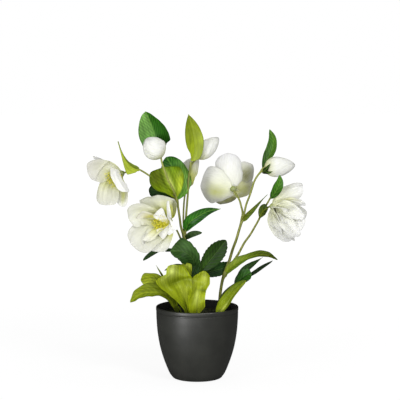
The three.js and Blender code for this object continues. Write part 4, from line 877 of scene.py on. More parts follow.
STALK_TONE = "#74822a"
GROUND_LEAVES = [
    dict(name="dark_leaf_middle", slot="dark_leaf", tone="#42521e",
         stalk=[[[-6, -9, 56], [-6, -9, 86], [-7, -11, 112], [-5, -12, 133], [-2, -13, 152]], 1.6, 1.8],
         blades=[
             dict(route=[[-4, -13, 148], [-4, -17, 162], [-8, -21, 173], [-20, -24, 181], [-37, -20, 181]],
                  face=[[0, -1, 0], [0.1, -1, 0.5]], width=34, p=0.8, q=0.62, cup=0.5, neck=3,
                  left=((0, 0), (0.3, -4), (0.5, -2), (0.65, 1), (0.8, -1.5), (1, -1)),
                  right=((0, 0), (0.15, -2), (0.35, -5), (0.56, -3), (0.76, 4), (0.86, 0), (1, -1)),
                  seed=13, teeth=9, tooth=1.0, crumple=0.8,
                  tones=("#1c3a10", "#2b4a1c", "#1f3c10", "#3e5e2a")),
             dict(route=[[2, -13, 148], [13, -13, 162], [26, -14, 178], [40, -15, 196]],
                  face=[[0, -1, 0.2], [0, -1, 0.2]], width=27, p=1, q=0.7, cup=0.3, neck=2, teeth=11,
                  seed=14, crumple=0.5, tones=("#2c4a0c", "#142c04", "#1f3c08", "#1a3406")),
             dict(route=[[-1, -12, 148], [16, -3, 150], [35, 8, 153], [55, 15, 158]],
                  face=[[0, -1, 0.3], [0.2, -1, 0.2]], width=20, p=0.7, q=0.7, cup=0.3, neck=2,
                  seed=15, teeth=11, tooth=0.9, tones=("#142c10", "#244818", "#0f240c", "#1f3f16")),
             dict(route=[[0, -17, 160], [-3, -19, 153], [-5, -20, 146], [-6, -20, 139]],
                  face=[[0, -1, 0.1], [0, -1, 0]], width=12, p=0.5, q=0.9, cup=0.4, neck=3,
                  seed=29, tones=("#1f3c14", "#14280e")),
             dict(route=[[-3, -11, 148], [-15, 2, 164], [-30, 6, 176], [-44, 3, 178], [-51, 0, 180],
                         [-63, -3, 174], [-75, -6, 166]],
                  face=[[0.5, 0.3, 1], [-0.2, -0.6, 1]], width=14, p=0.8, q=0.5, cup=0.4, neck=1.6,
                  tones=("#1f3818", "#2c4426"), seed=16),
             dict(route=[[-4, -10, 147], [-15, 5, 153], [-30, 11, 155], [-46, 13, 149]],
                  face=[[0, 0.4, 1], [0, -0.4, 1]], width=17, p=0.8, q=0.8, cup=0.3, neck=1.6,
                  tones=("#1f3818", "#2c4426"), seed=16),
         ]),
    dict(name="dark_leaf_right", slot="dark_leaf", tone="#34441c",
         stalk=[[[27, -10, 56], [28, -11, 86], [31, -12, 110], [37, -14, 122], [45, -16, 130],
                 [54, -17, 136]], 1.4, 1.3],
         blades=[
             dict(route=[[52, -17, 134], [58, -15, 146], [66, -13, 154], [77, -11, 161], [91, -8, 171]],
                  face=[[-0.6, -1, 0.4], [-0.4, -0.6, 1]], width=17, p=0.7, q=1.3, cup=0.5, neck=1.4,
                  left=((0, 0), (0.1, -2.5), (0.25, -5), (0.5, -2), (0.7, 0)), seed=17,
                  tones=("#14280e", "#2c4a20")),
             dict(route=[[52, -17, 135], [60, -22, 142], [68, -26, 148], [75, -28, 150]],
                  face=[[0, -0.6, 1], [0.2, -1, 0.5]], width=20, p=0.8, q=0.35, cup=0.3, tip=2, teeth=8,
                  seed=18, tones=("#14300c", "#2c5a14")),
             dict(route=[[52, -17, 134], [65, -22, 145], [77, -25, 153], [90, -26, 162], [104, -26, 169]],
                  face=[[0.2, -0.6, -1], [0.5, -0.8, -1]], width=12, p=1, q=0.7, cup=0.4,
                  seed=19, tones=("#182c14", "#1c3016")),
         ]),
    dict(name="light_leaf_front_left", slot="light_leaf",
         stalk=[[[-13, -16, 56], [-14, -20, 84], [-17, -24, 104]], 1.8, 2],
         blades=[
             dict(route=[[-13, -20, 92], [-18, -27, 112], [-24, -31, 130], [-29, -31, 146], [-28, -25, 163]],
                  face=[[0.2, -1, 0.3], [0, -1, 0.5]], width=44, p=1.25, q=0.3, cup=0.7, neck=3.5,
                  wave=[2.0, 2, 0.1], seed=20,
                  left=((0, 0), (0.4, 0), (0.62, 4), (0.75, 12), (0.775, 5), (0.81, -7), (0.9, -6), (1, -4)),
                  right=((0, 1), (0.5, 0), (0.68, 2.5), (0.85, -2), (0.93, -5), (1, -7)),
                  # painted light: the raised rim is a painted pale margin, the pale patches are painted
                  # highlights, and the dark ones are painted shade in the crease and at the foot
                  ruffle=1.6, crumple=1.4, rim=1.25,
                  stains=[(0.88, -0.4, 0.1, 0.4, "#c0cc68"), (0.7, 0, 0.07, 0.9, "#66740a"),
                          (0.45, 0.3, 0.15, 0.3, "#a4b038"), (0.15, -0.3, 0.15, 0.6, "#5c680c")],
                  pleats=[(-0.3, -0.6, 2.4, 0.14), (0.2, 0.1, -2.4, 0.14), (0.5, 0.55, 2.0, 0.14)],
                  swells=[(0.85, -0.3, 5, 0.1, 0.5), (0.68, 0, -4.5, 0.07, 0.9), (0.5, 0.5, 3, 0.1, 0.3)],
                  tones=("#7c8c0c", "#94a21c", "#8a9812", "#808e10")),
             dict(route=[[-13, -18, 96], [-15, -20, 120], [-16, -24, 146], [-15, -27, 166]],
                  face=[[0, -1, 0.2], [0.1, -1, 0.2]], width=17, p=0.9, q=0.12, cup=0.4, neck=2, tip=7,
                  corner=1.5, ruffle=0.8, crumple=0.5, seed=30, tones=("#6c7a0c", "#8c9a24")),
         ]),
    dict(name="light_leaf_front_right", slot="light_leaf",
         stalk=[[[0, -16, 56], [0, -20, 84], [1, -24, 104]], 1.6, 1.8],
         blades=[
             dict(route=[[-1, -21, 93], [1, -26, 111], [3, -29, 127], [6, -26, 141], [8, -19, 154]],
                  face=[[-0.2, -1, 0.2], [-0.1, -1, 0.6]], width=24, p=0.35, q=0.38, cup=0.6, neck=7,
                  wave=[1.2, 1.5, 0.4], tip=4, corner=2,
                  left=((0, 2), (0.3, 2.5), (0.5, 3), (0.66, 5), (0.78, 3), (0.9, 0), (1, -2)),
                  right=((0, -2.5), (0.08, -2), (0.26, 1.8), (0.5, -1), (0.58, -1.5), (0.72, 3.5),
                         (0.88, 3), (1, 0)),
                  # painted light: the raised rim is a painted pale margin, the pale patches are painted
                  # highlights, and the dark ones are painted shade in the creases
                  ruffle=1.3, crumple=1.2, seed=21, rim=1.25,
                  swells=[(0.32, 0.3, 6, 0.16, 0.6), (0.57, 0.7, -4.5, 0.055, 0.7),
                          (0.66, 0, -1.5, 0.05, 0.5), (0.8, 0.2, 3, 0.12, 0.5), (0.85, -0.6, -2, 0.1, 0.3)],
                  stains=[(0.38, -0.1, 0.14, 0.3, "#b8c458"), (0.57, 0.6, 0.04, 0.7, "#5e6c0a"),
                          (0.66, 0.1, 0.04, 0.5, "#808e14"), (0.85, 0.3, 0.1, 0.3, "#b4c050")],
                  tones=("#8c9a14", "#94a21c", "#9aa824", "#86940f")),
         ]),
    dict(name="olive_leaf_left_high", slot="olive_leaf",
         stalk=[[[-24, -7, 56], [-26, -9, 84], [-30, -12, 104]], 1.5, 1.6],
         blades=[
             dict(route=[[-28, -10, 95], [-36, -14, 114], [-47, -18, 131], [-58, -21, 140], [-78, -24, 140]],
                  face=[[0.4, -0.8, 0.6], [-0.2, -0.8, 1]], width=21, p=0.6, q=0.14, cup=0.4, tip=7, neck=3,
                  seed=22, crumple=1.2, ruffle=1.0, swells=[(0.62, 0, -3, 0.08, 1), (0.8, 0, 2, 0.12, 0.7)],
                  tones=("#5c6c0a", "#96a42c", "#5c6c0a", "#808e18")),
         ]),
    dict(name="olive_leaf_left_low", slot="olive_leaf", tone="#343c12",
         stalk=[[[-22, -18, 56], [-26, -24, 84], [-30, -29, 104]], 1.5, 1.6],
         blades=[
             dict(route=[[-27, -25, 94], [-36, -33, 113], [-52, -41, 127], [-72, -43, 127], [-92, -43, 114]],
                  face=[[0.3, -0.6, 0.8], [-0.4, -0.8, 0.8]], width=23, p=1.1, q=0.62, cup=0.5, tip=1.5,
                  neck=3, seed=23, crumple=1.2, ruffle=1.0, fold=0.15,
                  pleats=[(0.4, 0.25, 1.8, 0.16), (-0.3, -0.4, -1.5, 0.18)],
                  stains=[(0.05, 0, 0.16, 1.4, "#20280a"), (0.3, -0.6, 0.12, 0.4, "#4c5a08")],
                  tones=("#6c7c0c", "#6e7e10", "#5c6c08", "#7c8a18")),
         ]),
    dict(name="narrow_leaf_left", slot="light_leaf",
         stalk=[[[-17, 2, 56], [-20, 0, 84], [-25, -3, 100]], 1.3, 1.3],
         blades=[
             dict(route=[[-22, -1, 92], [-35, -6, 119], [-46, -8, 143], [-57, -8, 160]],
                  face=[[-0.8, -0.5, 0.3], [-0.8, -0.3, 0.3]], width=10, p=0.8, q=0.9, cup=0.6, neck=1.2,
                  seed=24, tones=("#7c8e20", "#66761c")),
         ]),
    dict(name="light_leaf_right", slot="light_leaf",
         stalk=[[[20, -22, 56], [25, -23, 84], [32, -25, 104]], 1.6, 1.6],
         blades=[
             dict(route=[[27, -23, 93], [37, -28, 107], [46, -32, 121], [56, -34, 133], [67, -36, 143]],
                  face=[[-0.4, -1, 0.4], [-0.4, -1, 0.5]], width=16, p=0.5, q=0.5, cup=0.7, fold=0.2,
                  left=((0, 0), (0.12, 1.6), (0.35, 1.8), (0.6, 0.8), (1, 0)),
                  right=((0, 0), (0.12, 2.4), (0.35, 2.6), (0.6, 1.2), (1, 0)), neck=3, seed=25,
                  crumple=0.7, ruffle=0.5, pleats=[(-0.3, -0.35, 1.6, 0.15), (0.35, 0.4, -1.2, 0.15)],
                  # painted highlight: the pale patch near the foot
                  stains=[(0.2, 0.3, 0.16, 0.35, "#b4c04c")],
                  tones=("#8c9c18", "#52680c", "#66780c", "#78880f")),
         ]),
]
for leaf in GROUND_LEAVES:
    kind = leaf["slot"]
    parts = [blade(veins=LEAF_SKINS[kind]["veins"], **shape) for shape in leaf["blades"]]
    parts.append(stalk(*leaf["stalk"], leaf.get("tone", STALK_TONE)))
    made = grown(f"grown_{leaf['name']}", parts)
    finish_piece(made, LEAF_FINISHES[kind], kind, leaf["name"])

# ---------------------------------------------------------------- petals of the open blooms
# Broad white petals, green-yellow at their foot, lapped round the swollen end of the stalk. Their
# margins are a little ruffled and thin out to almost nothing.

PETAL_THICK = 0.6
PETAL_ROOT = 1.2  # distance of a petal's root from the bloom's axis
LOOK_IN = 0.55  # how much a petal's upper side looks in to that axis
LAP = 0.15  # how much it is turned, so that it laps its neighbour on one side only
# the stalk's swollen end, as (radius, height along the bloom's axis)
RECEPTACLE = [(0, -3), (1.6, -3), (2.4, -2.2), (3, -1.5), (3.9, -0.5), (4.4, 0.6), (4.7, 1.6),
              (4.5, 2.6), (3.6, 3.4), (2.4, 3.7), (0, 3.7)]
RECEPTACLE_SIDES = 20
RECEPTACLE_TONE = "#808c38"

# Kinds of petal: broad ones that close into a bowl, small ones inside a full bloom, small
# square-ended ones, and thin frilled ones. A petal without a kind is the usual one.
BOWL = dict(p=0.4, q=0.26, cup=0.75, neck=2.2, ruffle=0.3, pleats=())
SMALL = dict(cup=0.6, neck=1.6)
CUT = dict(p=1.3, q=0.06, tip=6, corner=1, neck=1.2, cup=0.35, ruffle=0.5, crumple=0.6)
FRILLED = dict(tip=8, corner=1.5, ragged=3.0, ruffle=1.4, crumple=0.9, foot=0.25,
               tones=("#e0e2c8", "#e9e9e6"))

# A petal is its route, its width and its form. A bloom's stamens are their number, how far they
# spread and how far they reach along its axis.
BLOOMS = [
    dict(name="bloom_left", base=[-102, -37, 291], axis=[-0.75, -0.5, -0.45], petals=[
        [[[-108, -39, 297], [-119, -43, 304], [-129, -46, 310], [-141, -48, 315]], 18,
         dict(face=[[-0.3, -0.3, -1], [-0.3, -0.4, -1]], foot=0.0, ruffle=0.3, crumple=0.2, cup=0.3,
              pleats=(), curl=0.0, tones=("#f0f0ea", "#f8f8f6"))],
        # painted shade: the next two petals' grey tones stand for shade on their inner faces, and the pale
        # patch on the first is a painted highlight; the green-yellow at their foot is their own colour
        [[[-114, -44, 293], [-125, -50, 295], [-137, -54, 296], [-148, -55, 293]], 33,
         dict(face=[[0.3, -1, -0.1], [0.3, -1, 0.1]], tones=("#c4c6a4", "#c2c0b8"), foot=0.5,
              left=((0, 0), (0.1, -5), (0.3, -7), (0.42, -3), (0.55, 0), (1, 0)),
              pleats=[(3.5, -1.7, 2.2, 0.12), (0.7, 0.75, 1.2, 0.16)],
              stains=[(0.16, -0.4, 0.2, 0.6, "#b0b434"), (0.35, 0.4, 0.15, 0.3, "#eeeeea")])],
        [[[-112, -45, 281], [-119, -50, 272], [-121, -52, 260], [-121, -50, 248]], 32,
         dict(face=[[0.2, -1, 0.2], [0, -1, 0.3]], tones=("#c4c694", "#d0d0c4"),
              stains=[(0.12, 0.2, 0.16, 0.6, "#a8ac30")])],
        [[[-104, -35, 280], [-101, -36, 268], [-101, -36, 256], [-103, -33, 244]], 16,
         dict(face=[[-0.2, -1, 0], [-0.3, -1, 0]], tones=("#d4d880", "#fafaf4"), foot=0.4,
              stains=[(0.6, 0, 0.3, 0.4, "#d8dc80")])],
        [[[-107, -44, 292], [-105, -53, 286], [-100, -59, 278], [-94, -63, 267]], 27,
         dict(face=[[-0.8, 0.5, -0.3], [-0.8, 0.5, -0.3]], tones=("#f4f4ec", "#f8f8f6"), foot=0.0,
              left=((0, 4), (0.25, 5), (0.5, 1), (0.6, 0)))],
    ], stamens=dict(count=70, spread=0.42, reach=25)),
    dict(name="bloom_middle_left", base=[-37, -19, 223], axis=[-0.75, -0.65, -0.05], petals=[
        [[[-43, -19, 234], [-49, -21, 243], [-53, -23, 252], [-54, -27, 260]], 46,
         dict(q=0.12, tip=17, corner=3, face=[[-0.1, -1, -0.4], [-0.1, -1, -0.2]],
              left=((0, 0), (0.6, 0), (0.95, 4), (1, 4)), right=((0, 0), (0.6, 0), (0.95, 3), (1, 3)),
              tones=("#c6c89c", "#dcddcc"), stains=[(0.95, -0.5, 0.15, 0.6, "#c0c2b0")])],
        [[[-45, -21, 223], [-63, -28, 230], [-79, -35, 234], [-93, -41, 228]], 32,
         dict(q=0.16, tip=10, corner=3, face=[[0.3, -1, -0.1], [0.3, -1, 0.1]],
              tones=("#c8caa2", "#dadbcc"), stains=[(0.5, 0, 0.2, 0.4, "#c4c690")])],
        [[[-44, -22, 221], [-59, -29, 213], [-74, -37, 203], [-89, -43, 192]], 46,
         dict(face=[[0.2, -1, 0.4], [0.2, -1, 0.4]], tones=("#ccceaa", "#d6d6cc"))],
        [[[-41, -23, 217], [-50, -30, 206], [-57, -36, 195], [-61, -40, 184]], 41,
         dict(face=[[0.1, -1, 0.6], [0, -1, 0.5]], tones=("#cccea4", "#e4e4dc"),
              left=((0, 0), (0.6, 0), (0.93, 3), (1, 2)))],
        [[[-35, -16, 228], [-32, -15, 238], [-32, -17, 246], [-34, -20, 254]], 15,
         dict(face=[[-0.7, -0.8, 0], [-0.7, -0.8, 0]], tones=("#dce0a0", "#eeeee0"))],
        [[[-46, -24, 226], [-58, -29, 230], [-70, -35, 232], [-82, -40, 230]], 24,
         dict(**SMALL, q=0.25, right=((0, 0), (0.5, 0), (0.9, 2), (1, 1)), tones=("#c8c430", "#f4f0e8"),
              stains=[(0.5, -0.2, 0.25, 0.7, "#dcd43c")])],
        [[[-46, -24, 221], [-56, -30, 215], [-66, -35, 207], [-75, -39, 199]], 28,
         dict(**SMALL, left=((0, 0), (0.5, 0), (0.85, 2), (1, 0)), tones=("#cccc3c", "#ecece2"),
              stains=[(0.4, 0.2, 0.25, 0.6, "#c0bc3c")])],
        [[[-38, -26, 217], [-41, -31, 214], [-46, -36, 210], [-52, -38, 206]], 16,
         dict(CUT, face=[[0.3, -1, 0.2], [0.2, -1, 0]], foot=0.2, tones=("#f4f4ec", "#f6f4ee"))],
        [[[-41, -27, 222], [-45, -32, 227], [-50, -36, 233], [-55, -38, 239]], 17,
         dict(CUT, face=[[0.3, -1, 0], [0.4, -1, -0.2]], foot=0.1, tones=("#f6f6f0", "#f8f8f4"))],
        [[[-38, -27, 228], [-39, -33, 236], [-40, -36, 244], [-40, -37, 253]], 7,
         dict(**SMALL, q=0.9, face=[[0.5, -1, 0], [0.5, -1, 0]], foot=0.0, tones=("#f8f8f4", "#f8f8f4"))],
        [[[-37, -26, 225], [-35, -29, 222], [-32, -31, 218], [-29, -31, 212]], 8,
         dict(CUT, tip=2, face=[[0, -1, 0.2], [0, -1, 0.2]], foot=0.0, tones=("#f4f4ee", "#f8f8f4"))],
        [[[-37, -26, 220], [-36, -30, 216], [-36, -32, 211], [-37, -33, 205]], 8,
         dict(CUT, tip=2, face=[[0, -1, 0.2], [0, -1, 0.2]], foot=0.0, tones=("#f4f4ee", "#f8f8f4"))],
    ], stamens=dict(count=90, spread=0.42, reach=25)),
    dict(name="bloom_right_of_middle", base=[51, 32, 261], axis=[-0.2, 0.85, 0.45], petals=[
        [[[48, 34, 264], [47, 37, 277], [45, 45, 294], [43, 59, 311]], 42,
         dict(**BOWL, foot=0.1, tones=("#f0f1e2", "#f0f0f0"))],
        [[[46, 34, 261], [34, 35, 261], [18, 41, 263], [4, 54, 265]], 60,
         dict(**BOWL, face=[[0.2, 1, 0.2], [0.5, 1, 0.1]], foot=0.1, tones=("#f0f2dc", "#f6f6f6"),
              left=((0, 0), (0.5, 0), (0.8, 3), (0.95, 5), (1, 4)),
              right=((0, 0), (0.15, -5), (0.45, -5), (0.8, 0), (1, 0)),
              # the green-yellow patch is the petal's own colour; the grey one at its tip edge is painted
              # shade
              stains=[(0.45, 0.2, 0.35, 0.5, "#c4c880"), (1, 0.9, 0.3, 0.4, "#c6c8b0")])],
        [[[48, 40, 256], [44, 46, 248], [39, 53, 241], [33, 61, 237]], 44,
         # painted shade: this lower petal's dark olive tones and dim rim stand for shade on its downward
         # face
         dict(BOWL, p=0.75, foot=0.1, rim=0.5, tones=("#b0b25c", "#787a54"))],
        [[[52, 36, 263], [61, 42, 271], [70, 50, 282], [78, 60, 294]], 42,
         # painted shade: the olive patch in its middle; painted highlight: its raised pale rim
         dict(BOWL, q=0.4, face=[[-0.1, 1, 0.3], [-0.5, 1, 0]], foot=0.0, rim=1.3,
              tones=("#d4d8a4", "#d0d0cc"), stains=[(0.6, 0, 0.3, 0.6, "#66662e")])],
        [[[52, 35, 259], [61, 40, 260], [70, 48, 263], [78, 59, 269]], 35,
         # partly its own green-yellow, partly painted shade in its darker tones; its raised rim is a painted
         # highlight
         dict(**BOWL, face=[[-0.2, 1, 0.3], [-0.5, 1, 0.2]], foot=0.0, rim=1.2,
              tones=("#a8aa50", "#c8c8b4"), stains=[(0.5, -0.2, 0.3, 0.6, "#b4b870")])],
    ], stamens=dict(count=46, spread=0.26, reach=9)),
    dict(name="bloom_right", base=[102, -38, 246], axis=[0.55, -0.8, -0.2], petals=[
        [[[105, -37, 250], [115, -37, 260], [127, -38, 267], [141, -37, 272]], 27,
         dict(FRILLED, face=[[0.1, -1, -0.3], [0.2, -1, -0.1]], q=0.3,
              left=((0, 0), (0.35, -1), (0.6, -2.5), (0.93, -3), (1, -1)))],
        [[[107, -42, 248], [121, -47, 252], [133, -50, 253], [147, -51, 251]], 19,
         # painted shade: the cream patch on this petal
         dict(FRILLED, q=0.8, tip=3, stains=[(0.5, -0.6, 0.3, 0.4, "#d4d4ac")])],
        [[[108, -35, 244], [121, -34, 237], [133, -33, 229], [143, -33, 219]], 38,
         dict(FRILLED, face=[[-0.1, -1, 0.2], [-0.1, -1, 0.2]])],
        [[[106, -41, 245], [117, -50, 235], [129, -57, 224], [141, -60, 212]], 38, FRILLED],
        [[[105, -39, 244], [111, -46, 229], [121, -50, 216], [131, -50, 203]], 36,
         dict(FRILLED, face=[[-0.3, -1, 0], [-0.3, -1, 0.1]], q=0.45)],
        [[[104, -40, 242], [105, -46, 231], [108, -49, 220], [112, -49, 209]], 17,
         dict(FRILLED, face=[[-0.4, -1, 0], [-0.3, -1, 0.1]], q=0.6, tip=4)],
        [[[109, -42, 247], [121, -50, 245], [133, -55, 239], [145, -57, 232]], 22,
         dict(FRILLED, q=0.7, tip=5)],
        [[[109, -43, 244], [117, -52, 234], [123, -56, 223], [128, -57, 213]], 20,
         dict(FRILLED, q=0.5)],
        [[[103, -47, 247], [108, -54, 247], [114, -59, 246], [121, -62, 244]], 15,
         dict(FRILLED, tip=4)],
        [[[103, -47, 243], [106, -54, 239], [110, -58, 233], [115, -60, 226]], 15,
         dict(FRILLED, tip=4)],
    ], stamens=dict(count=20, spread=0.11, reach=3)),
    dict(name="bloom_behind_middle", base=[-11, 16, 270], axis=[-0.15, 0.5, 0.85], petals=[
        [[[-8, 17, 270], [-4, 21, 282], [-1, 24, 294], [2, 28, 304]], 24,
         # painted shade: the grey patch along this petal's right edge and its greyer tones
         dict(**SMALL, left=((0, 0), (0.4, -4), (1, -4)), tones=("#c0c29c", "#dcdcd4"),
              stains=[(0.5, 0.9, 0.5, 0.35, "#8c8c78")])],
        [[[-13, 17, 270], [-21, 22, 278], [-29, 26, 288], [-36, 30, 298]], 26, SMALL],
        [[[-15, 21, 267], [-25, 31, 273], [-33, 40, 281], [-39, 48, 290]], 26, SMALL],
        [[[-12, 21, 269], [-10, 32, 278], [-11, 43, 290], [-13, 51, 301]], 28, SMALL],
    ], stamens=dict(count=30, spread=0.11, reach=6)),
]


def bloom_frame(axis):
    """A bloom's axis and two directions across it, as the frame has them."""
    ahead = Vector(axis).normalized()
    top = Vector((0.3, 0, 1))
    top = (top - ahead * top.dot(ahead)).normalized()
    return ahead, top, top.cross(ahead)


def petal(axis, base, route, width, shape, seed):
    """A petal from the bloom's base. Its upper side looks ahead and in towards the bloom's axis.
    Its uneven margins and creases come from the seed where its form gives none."""
    ahead = Vector(axis).normalized()
    out = Vector(route[-2]) - Vector(base)
    out = (out - ahead * out.dot(ahead)).normalized()
    root = Vector(base) + ahead + out * PETAL_ROOT
    look = ahead - out * LOOK_IN + ahead.cross(out) * LAP
    rng = np.random.default_rng(seed + 100)
    uneven = width / 30  # broad petals are the more uneven
    sides = [((0, 0), (0.4, 0), (0.62, rng.uniform(-0.9, 0.4) * uneven), (0.84, rng.uniform(0, 2) * uneven),
              (0.97, rng.uniform(-0.5, 1.2) * uneven), (1, 0)) for _ in range(2)]
    creases = [(0.8 * k + rng.uniform(-0.2, 0.2), 0.8 * k + rng.uniform(-0.2, 0.2),
                rng.uniform(0.5, 1.1) * uneven * (-1) ** fold, rng.uniform(0.1, 0.18))
               for fold, k in enumerate(np.linspace(-0.8, 0.8, 5))]
    # the margins are painted a little grey (rim), as painted shade at the petals' edges
    usual = dict(face=[look, look], p=0.65, q=0.36, neck=1.5, tip=2.4, cup=0.55, fold=0.02, ruffle=0.9,
                 crumple=0.45, curl=rng.uniform(-1.5, 1.5), left=sides[0], right=sides[1], pleats=creases,
                 tones=("#dde0b4", "#e6e6de"), rim=0.93, rib=0.1, quilt=0.0)
    return blade(route=[list(root), *route], width=width, thick=PETAL_THICK, seed=seed, **(usual | shape))


def receptacle(axis, base):
    """The swollen end of the stalk that carries the petals."""
    ahead, top, right = bloom_frame(axis)
    rings = []
    for radius, height in RECEPTACLE[1:-1]:
        rings.append([Vector(base) + ahead * height + radius * (math.cos(a) * right + math.sin(a) * top)
                      for a in np.linspace(0, 2 * math.pi, RECEPTACLE_SIDES, endpoint=False)])
    points = [p for ring in rings for p in ring]
    points += [Vector(base) + ahead * RECEPTACLE[0][1], Vector(base) + ahead * RECEPTACLE[-1][1]]
    faces = []
    last = (len(rings) - 1) * RECEPTACLE_SIDES
    for k in range(RECEPTACLE_SIDES):
        n = (k + 1) % RECEPTACLE_SIDES
        faces.append((len(points) - 2, n, k))
        faces.append((len(points) - 1, last + k, last + n))
        starts = range(0, last, RECEPTACLE_SIDES)
        faces.extend((j + k, j + n, j + RECEPTACLE_SIDES + n, j + RECEPTACLE_SIDES + k) for j in starts)
    return plain_part(np.array([list(p) for p in points]), faces, hexed(RECEPTACLE_TONE, 0), across=4.0)


# Fine lines fan out from the petal's foot and carry the relief. They and soft clouds shade the
# skin grey, and they fray the edge of the green-yellow at the foot.
petal_skin, tree, body = shader("petal_skin", Roughness=0.55, Specular_IOR_Level=0.2,
                                Subsurface_Weight=0.45, Subsurface_Radius=(1.0, 1.0, 0.85),
                                Subsurface_Scale=0.002)
tint = add(tree, "Attribute", attribute_name="tint").outputs
lay = add(tree, "SeparateXYZ", {0: add(tree, "Attribute", attribute_name="lay").outputs["Vector"]})
across, along, half = lay.outputs
fan = math_node(tree, "MULTIPLY", math_node(tree, "DIVIDE", across, half), 9.0)
fine = add(tree, "CombineXYZ", {0: fan, 1: math_node(tree, "MULTIPLY", along, 0.05)}).outputs[0]
lines = add(tree, "TexNoise", {"Vector": fine, "Scale": 2.2, "Detail": 3.0}).outputs[0]
cloud = place_noise(tree, 12)
reach = math_node(tree, "ADD", along, math_node(tree, "MULTIPLY", lines, 8.0))
reach = math_node(tree, "ADD", reach, math_node(tree, "MULTIPLY", cloud, 10.0))
grey = mix_colours(tree, fade(tree, lines, 0.35, 0.7, 0.0, 0.3), tint["Color"], hexed("#c4c5b2"))
grey = mix_colours(tree, fade(tree, cloud, 0.35, 0.75, 0.0, 0.25), grey, hexed("#d4d4cc"))
foot_share = math_node(tree, "MULTIPLY", fade(tree, reach, 15.0, 46.0, 0.9, 0.0), tint["Alpha"])
skin = mix_colours(tree, foot_share, grey, hexed("#b0b440"))
tree.links.new(skin, body.inputs["Base Color"])
relief(tree, body, lines, 0.15, 0.6)

for number, bloom in enumerate(BLOOMS):
    axis, base = bloom["axis"], bloom["base"]
    parts = [petal(axis, base, *spec, seed=10 * number + k) for k, spec in enumerate(bloom["petals"])]
    parts.append(receptacle(axis, base))
    made = grown(f"grown_{bloom['name']}_petals", parts)
    finish_piece(made, petal_skin, "petal", f"{bloom['name']}_petals")

# ---------------------------------------------------------------- stamens of the open blooms
# A tuft of fine pale filaments with yellow anthers round a core of styles. It stands in the
# middle of the petals, and every filament leans out and carries one anther at its end.

STAMEN_RING = 2.4  # radius that the filaments' feet fill
GOLDEN_ANGLE = 2.39996  # turn from one filament to the next, in radians
FILAMENT = 0.22  # radius of a filament
ANTHER = 0.75  # and of the ball that its anther is drawn out of
TUFT_FOOT = 3  # height of the filaments' feet along the bloom's axis
# the core of styles, as (radius, height along the bloom's axis)
CORE = [(0, 2.4), (2.6, 2.4), (2.6, 4), (2.2, 4.8), (1.2, 5.6), (0.5, 7.5), (0, 7.9)]
CORE_SIDES = 12

tuft_tree, put = geometry_tree("stamen_tuft", [
    ("Count", "Int", 40), ("Ring", "Float", 0.002), ("Reach", "Float", 0.01), ("Spread", "Float", 0.1),
    ("Filament", "Float", 0.0002), ("Anther", "Float", 0.0007), ("Seed", "Int", 1),
    ("Finish", "Material", None)])
given = put("NodeGroupInput").outputs
index = put("GeometryNodeInputIndex").outputs[0]


def sum_node(operation, a, b=0.0):
    """A sum, product or other function of one or two values in the tuft's tree."""
    return put("ShaderNodeMath", {0: a, 1: b}, operation=operation).outputs[0]


def random_node(low, high, shift):
    """A value between two bounds, another one for each filament."""
    seed = sum_node("ADD", given["Seed"], shift)
    return put("FunctionNodeRandomValue", {2: low, 3: high, "Seed": seed}, data_type="FLOAT").outputs[1]


angle = sum_node("MULTIPLY", index, GOLDEN_ANGLE)
share = sum_node("DIVIDE", sum_node("ADD", index, 4.0), sum_node("ADD", given["Count"], 4.0))
outward = sum_node("SQRT", share)
radius = sum_node("MULTIPLY", outward, given["Ring"])
place = put("ShaderNodeCombineXYZ", {0: sum_node("MULTIPLY", sum_node("COSINE", angle), radius),
                                     1: sum_node("MULTIPLY", sum_node("SINE", angle), radius)}).outputs[0]
spots = put("GeometryNodePoints", {"Count": given["Count"], "Position": place}).outputs[0]
lean = sum_node("MULTIPLY", sum_node("MULTIPLY", outward, given["Spread"]), random_node(0.4, 1.6, 3))
turned = put("ShaderNodeCombineXYZ", {1: lean, 2: angle}).outputs[0]
size = random_node(0.72, 1.0, 7)
spine = put("GeometryNodeCurveQuadraticBezier", {
    "Resolution": 6, "Start": (0, 0, 0),
    "Middle": put("ShaderNodeCombineXYZ", {0: sum_node("MULTIPLY", given["Reach"], 0.12),
                                           2: sum_node("MULTIPLY", given["Reach"], 0.5)}).outputs[0],
    "End": put("ShaderNodeCombineXYZ", {2: given["Reach"]}).outputs[0]}).outputs[0]
round_wire = put("GeometryNodeCurvePrimitiveCircle", {
    "Resolution": 5, "Radius": given["Filament"]}).outputs[0]
filament = put("GeometryNodeCurveToMesh", {
    "Curve": spine, "Profile Curve": round_wire, "Fill Caps": True}).outputs[0]
ball = put("GeometryNodeMeshIcoSphere", {"Radius": given["Anther"], "Subdivisions": 2}).outputs[0]
anther = put("GeometryNodeTransform", {
    "Geometry": ball, "Scale": (0.75, 0.75, 1.5),
    "Translation": put("ShaderNodeCombineXYZ", {2: given["Reach"]}).outputs[0]}).outputs[0]
stamen = put("GeometryNodeJoinGeometry", {0: filament})
tuft_tree.links.new(anther, stamen.inputs[0])
tuft = put("GeometryNodeInstanceOnPoints", {"Points": spots, "Instance": stamen.outputs[0],
                                            "Rotation": turned, "Scale": size}).outputs[0]
real = put("GeometryNodeRealizeInstances", {0: tuft}).outputs[0]
whole = put("GeometryNodeJoinGeometry", {0: given["Geometry"]})
tuft_tree.links.new(real, whole.inputs[0])
done = put("GeometryNodeSetMaterial", {"Geometry": whole.outputs[0], "Material": given["Finish"]}).outputs[0]
put("NodeGroupOutput", {"Geometry": done})

stamen_yellow, tree, body = shader("stamen_yellow", Roughness=0.6, Specular_IOR_Level=0.3)
tree.links.new(ramp(tree, place_noise(tree, 2.5), (0.35, hexed("#dcd41c")), (0.55, hexed("#f2ea38")),
                    (0.7, hexed("#faf5a0"))), body.inputs["Base Color"])
relief(tree, body, place_noise(tree, 0.4), 0.1)

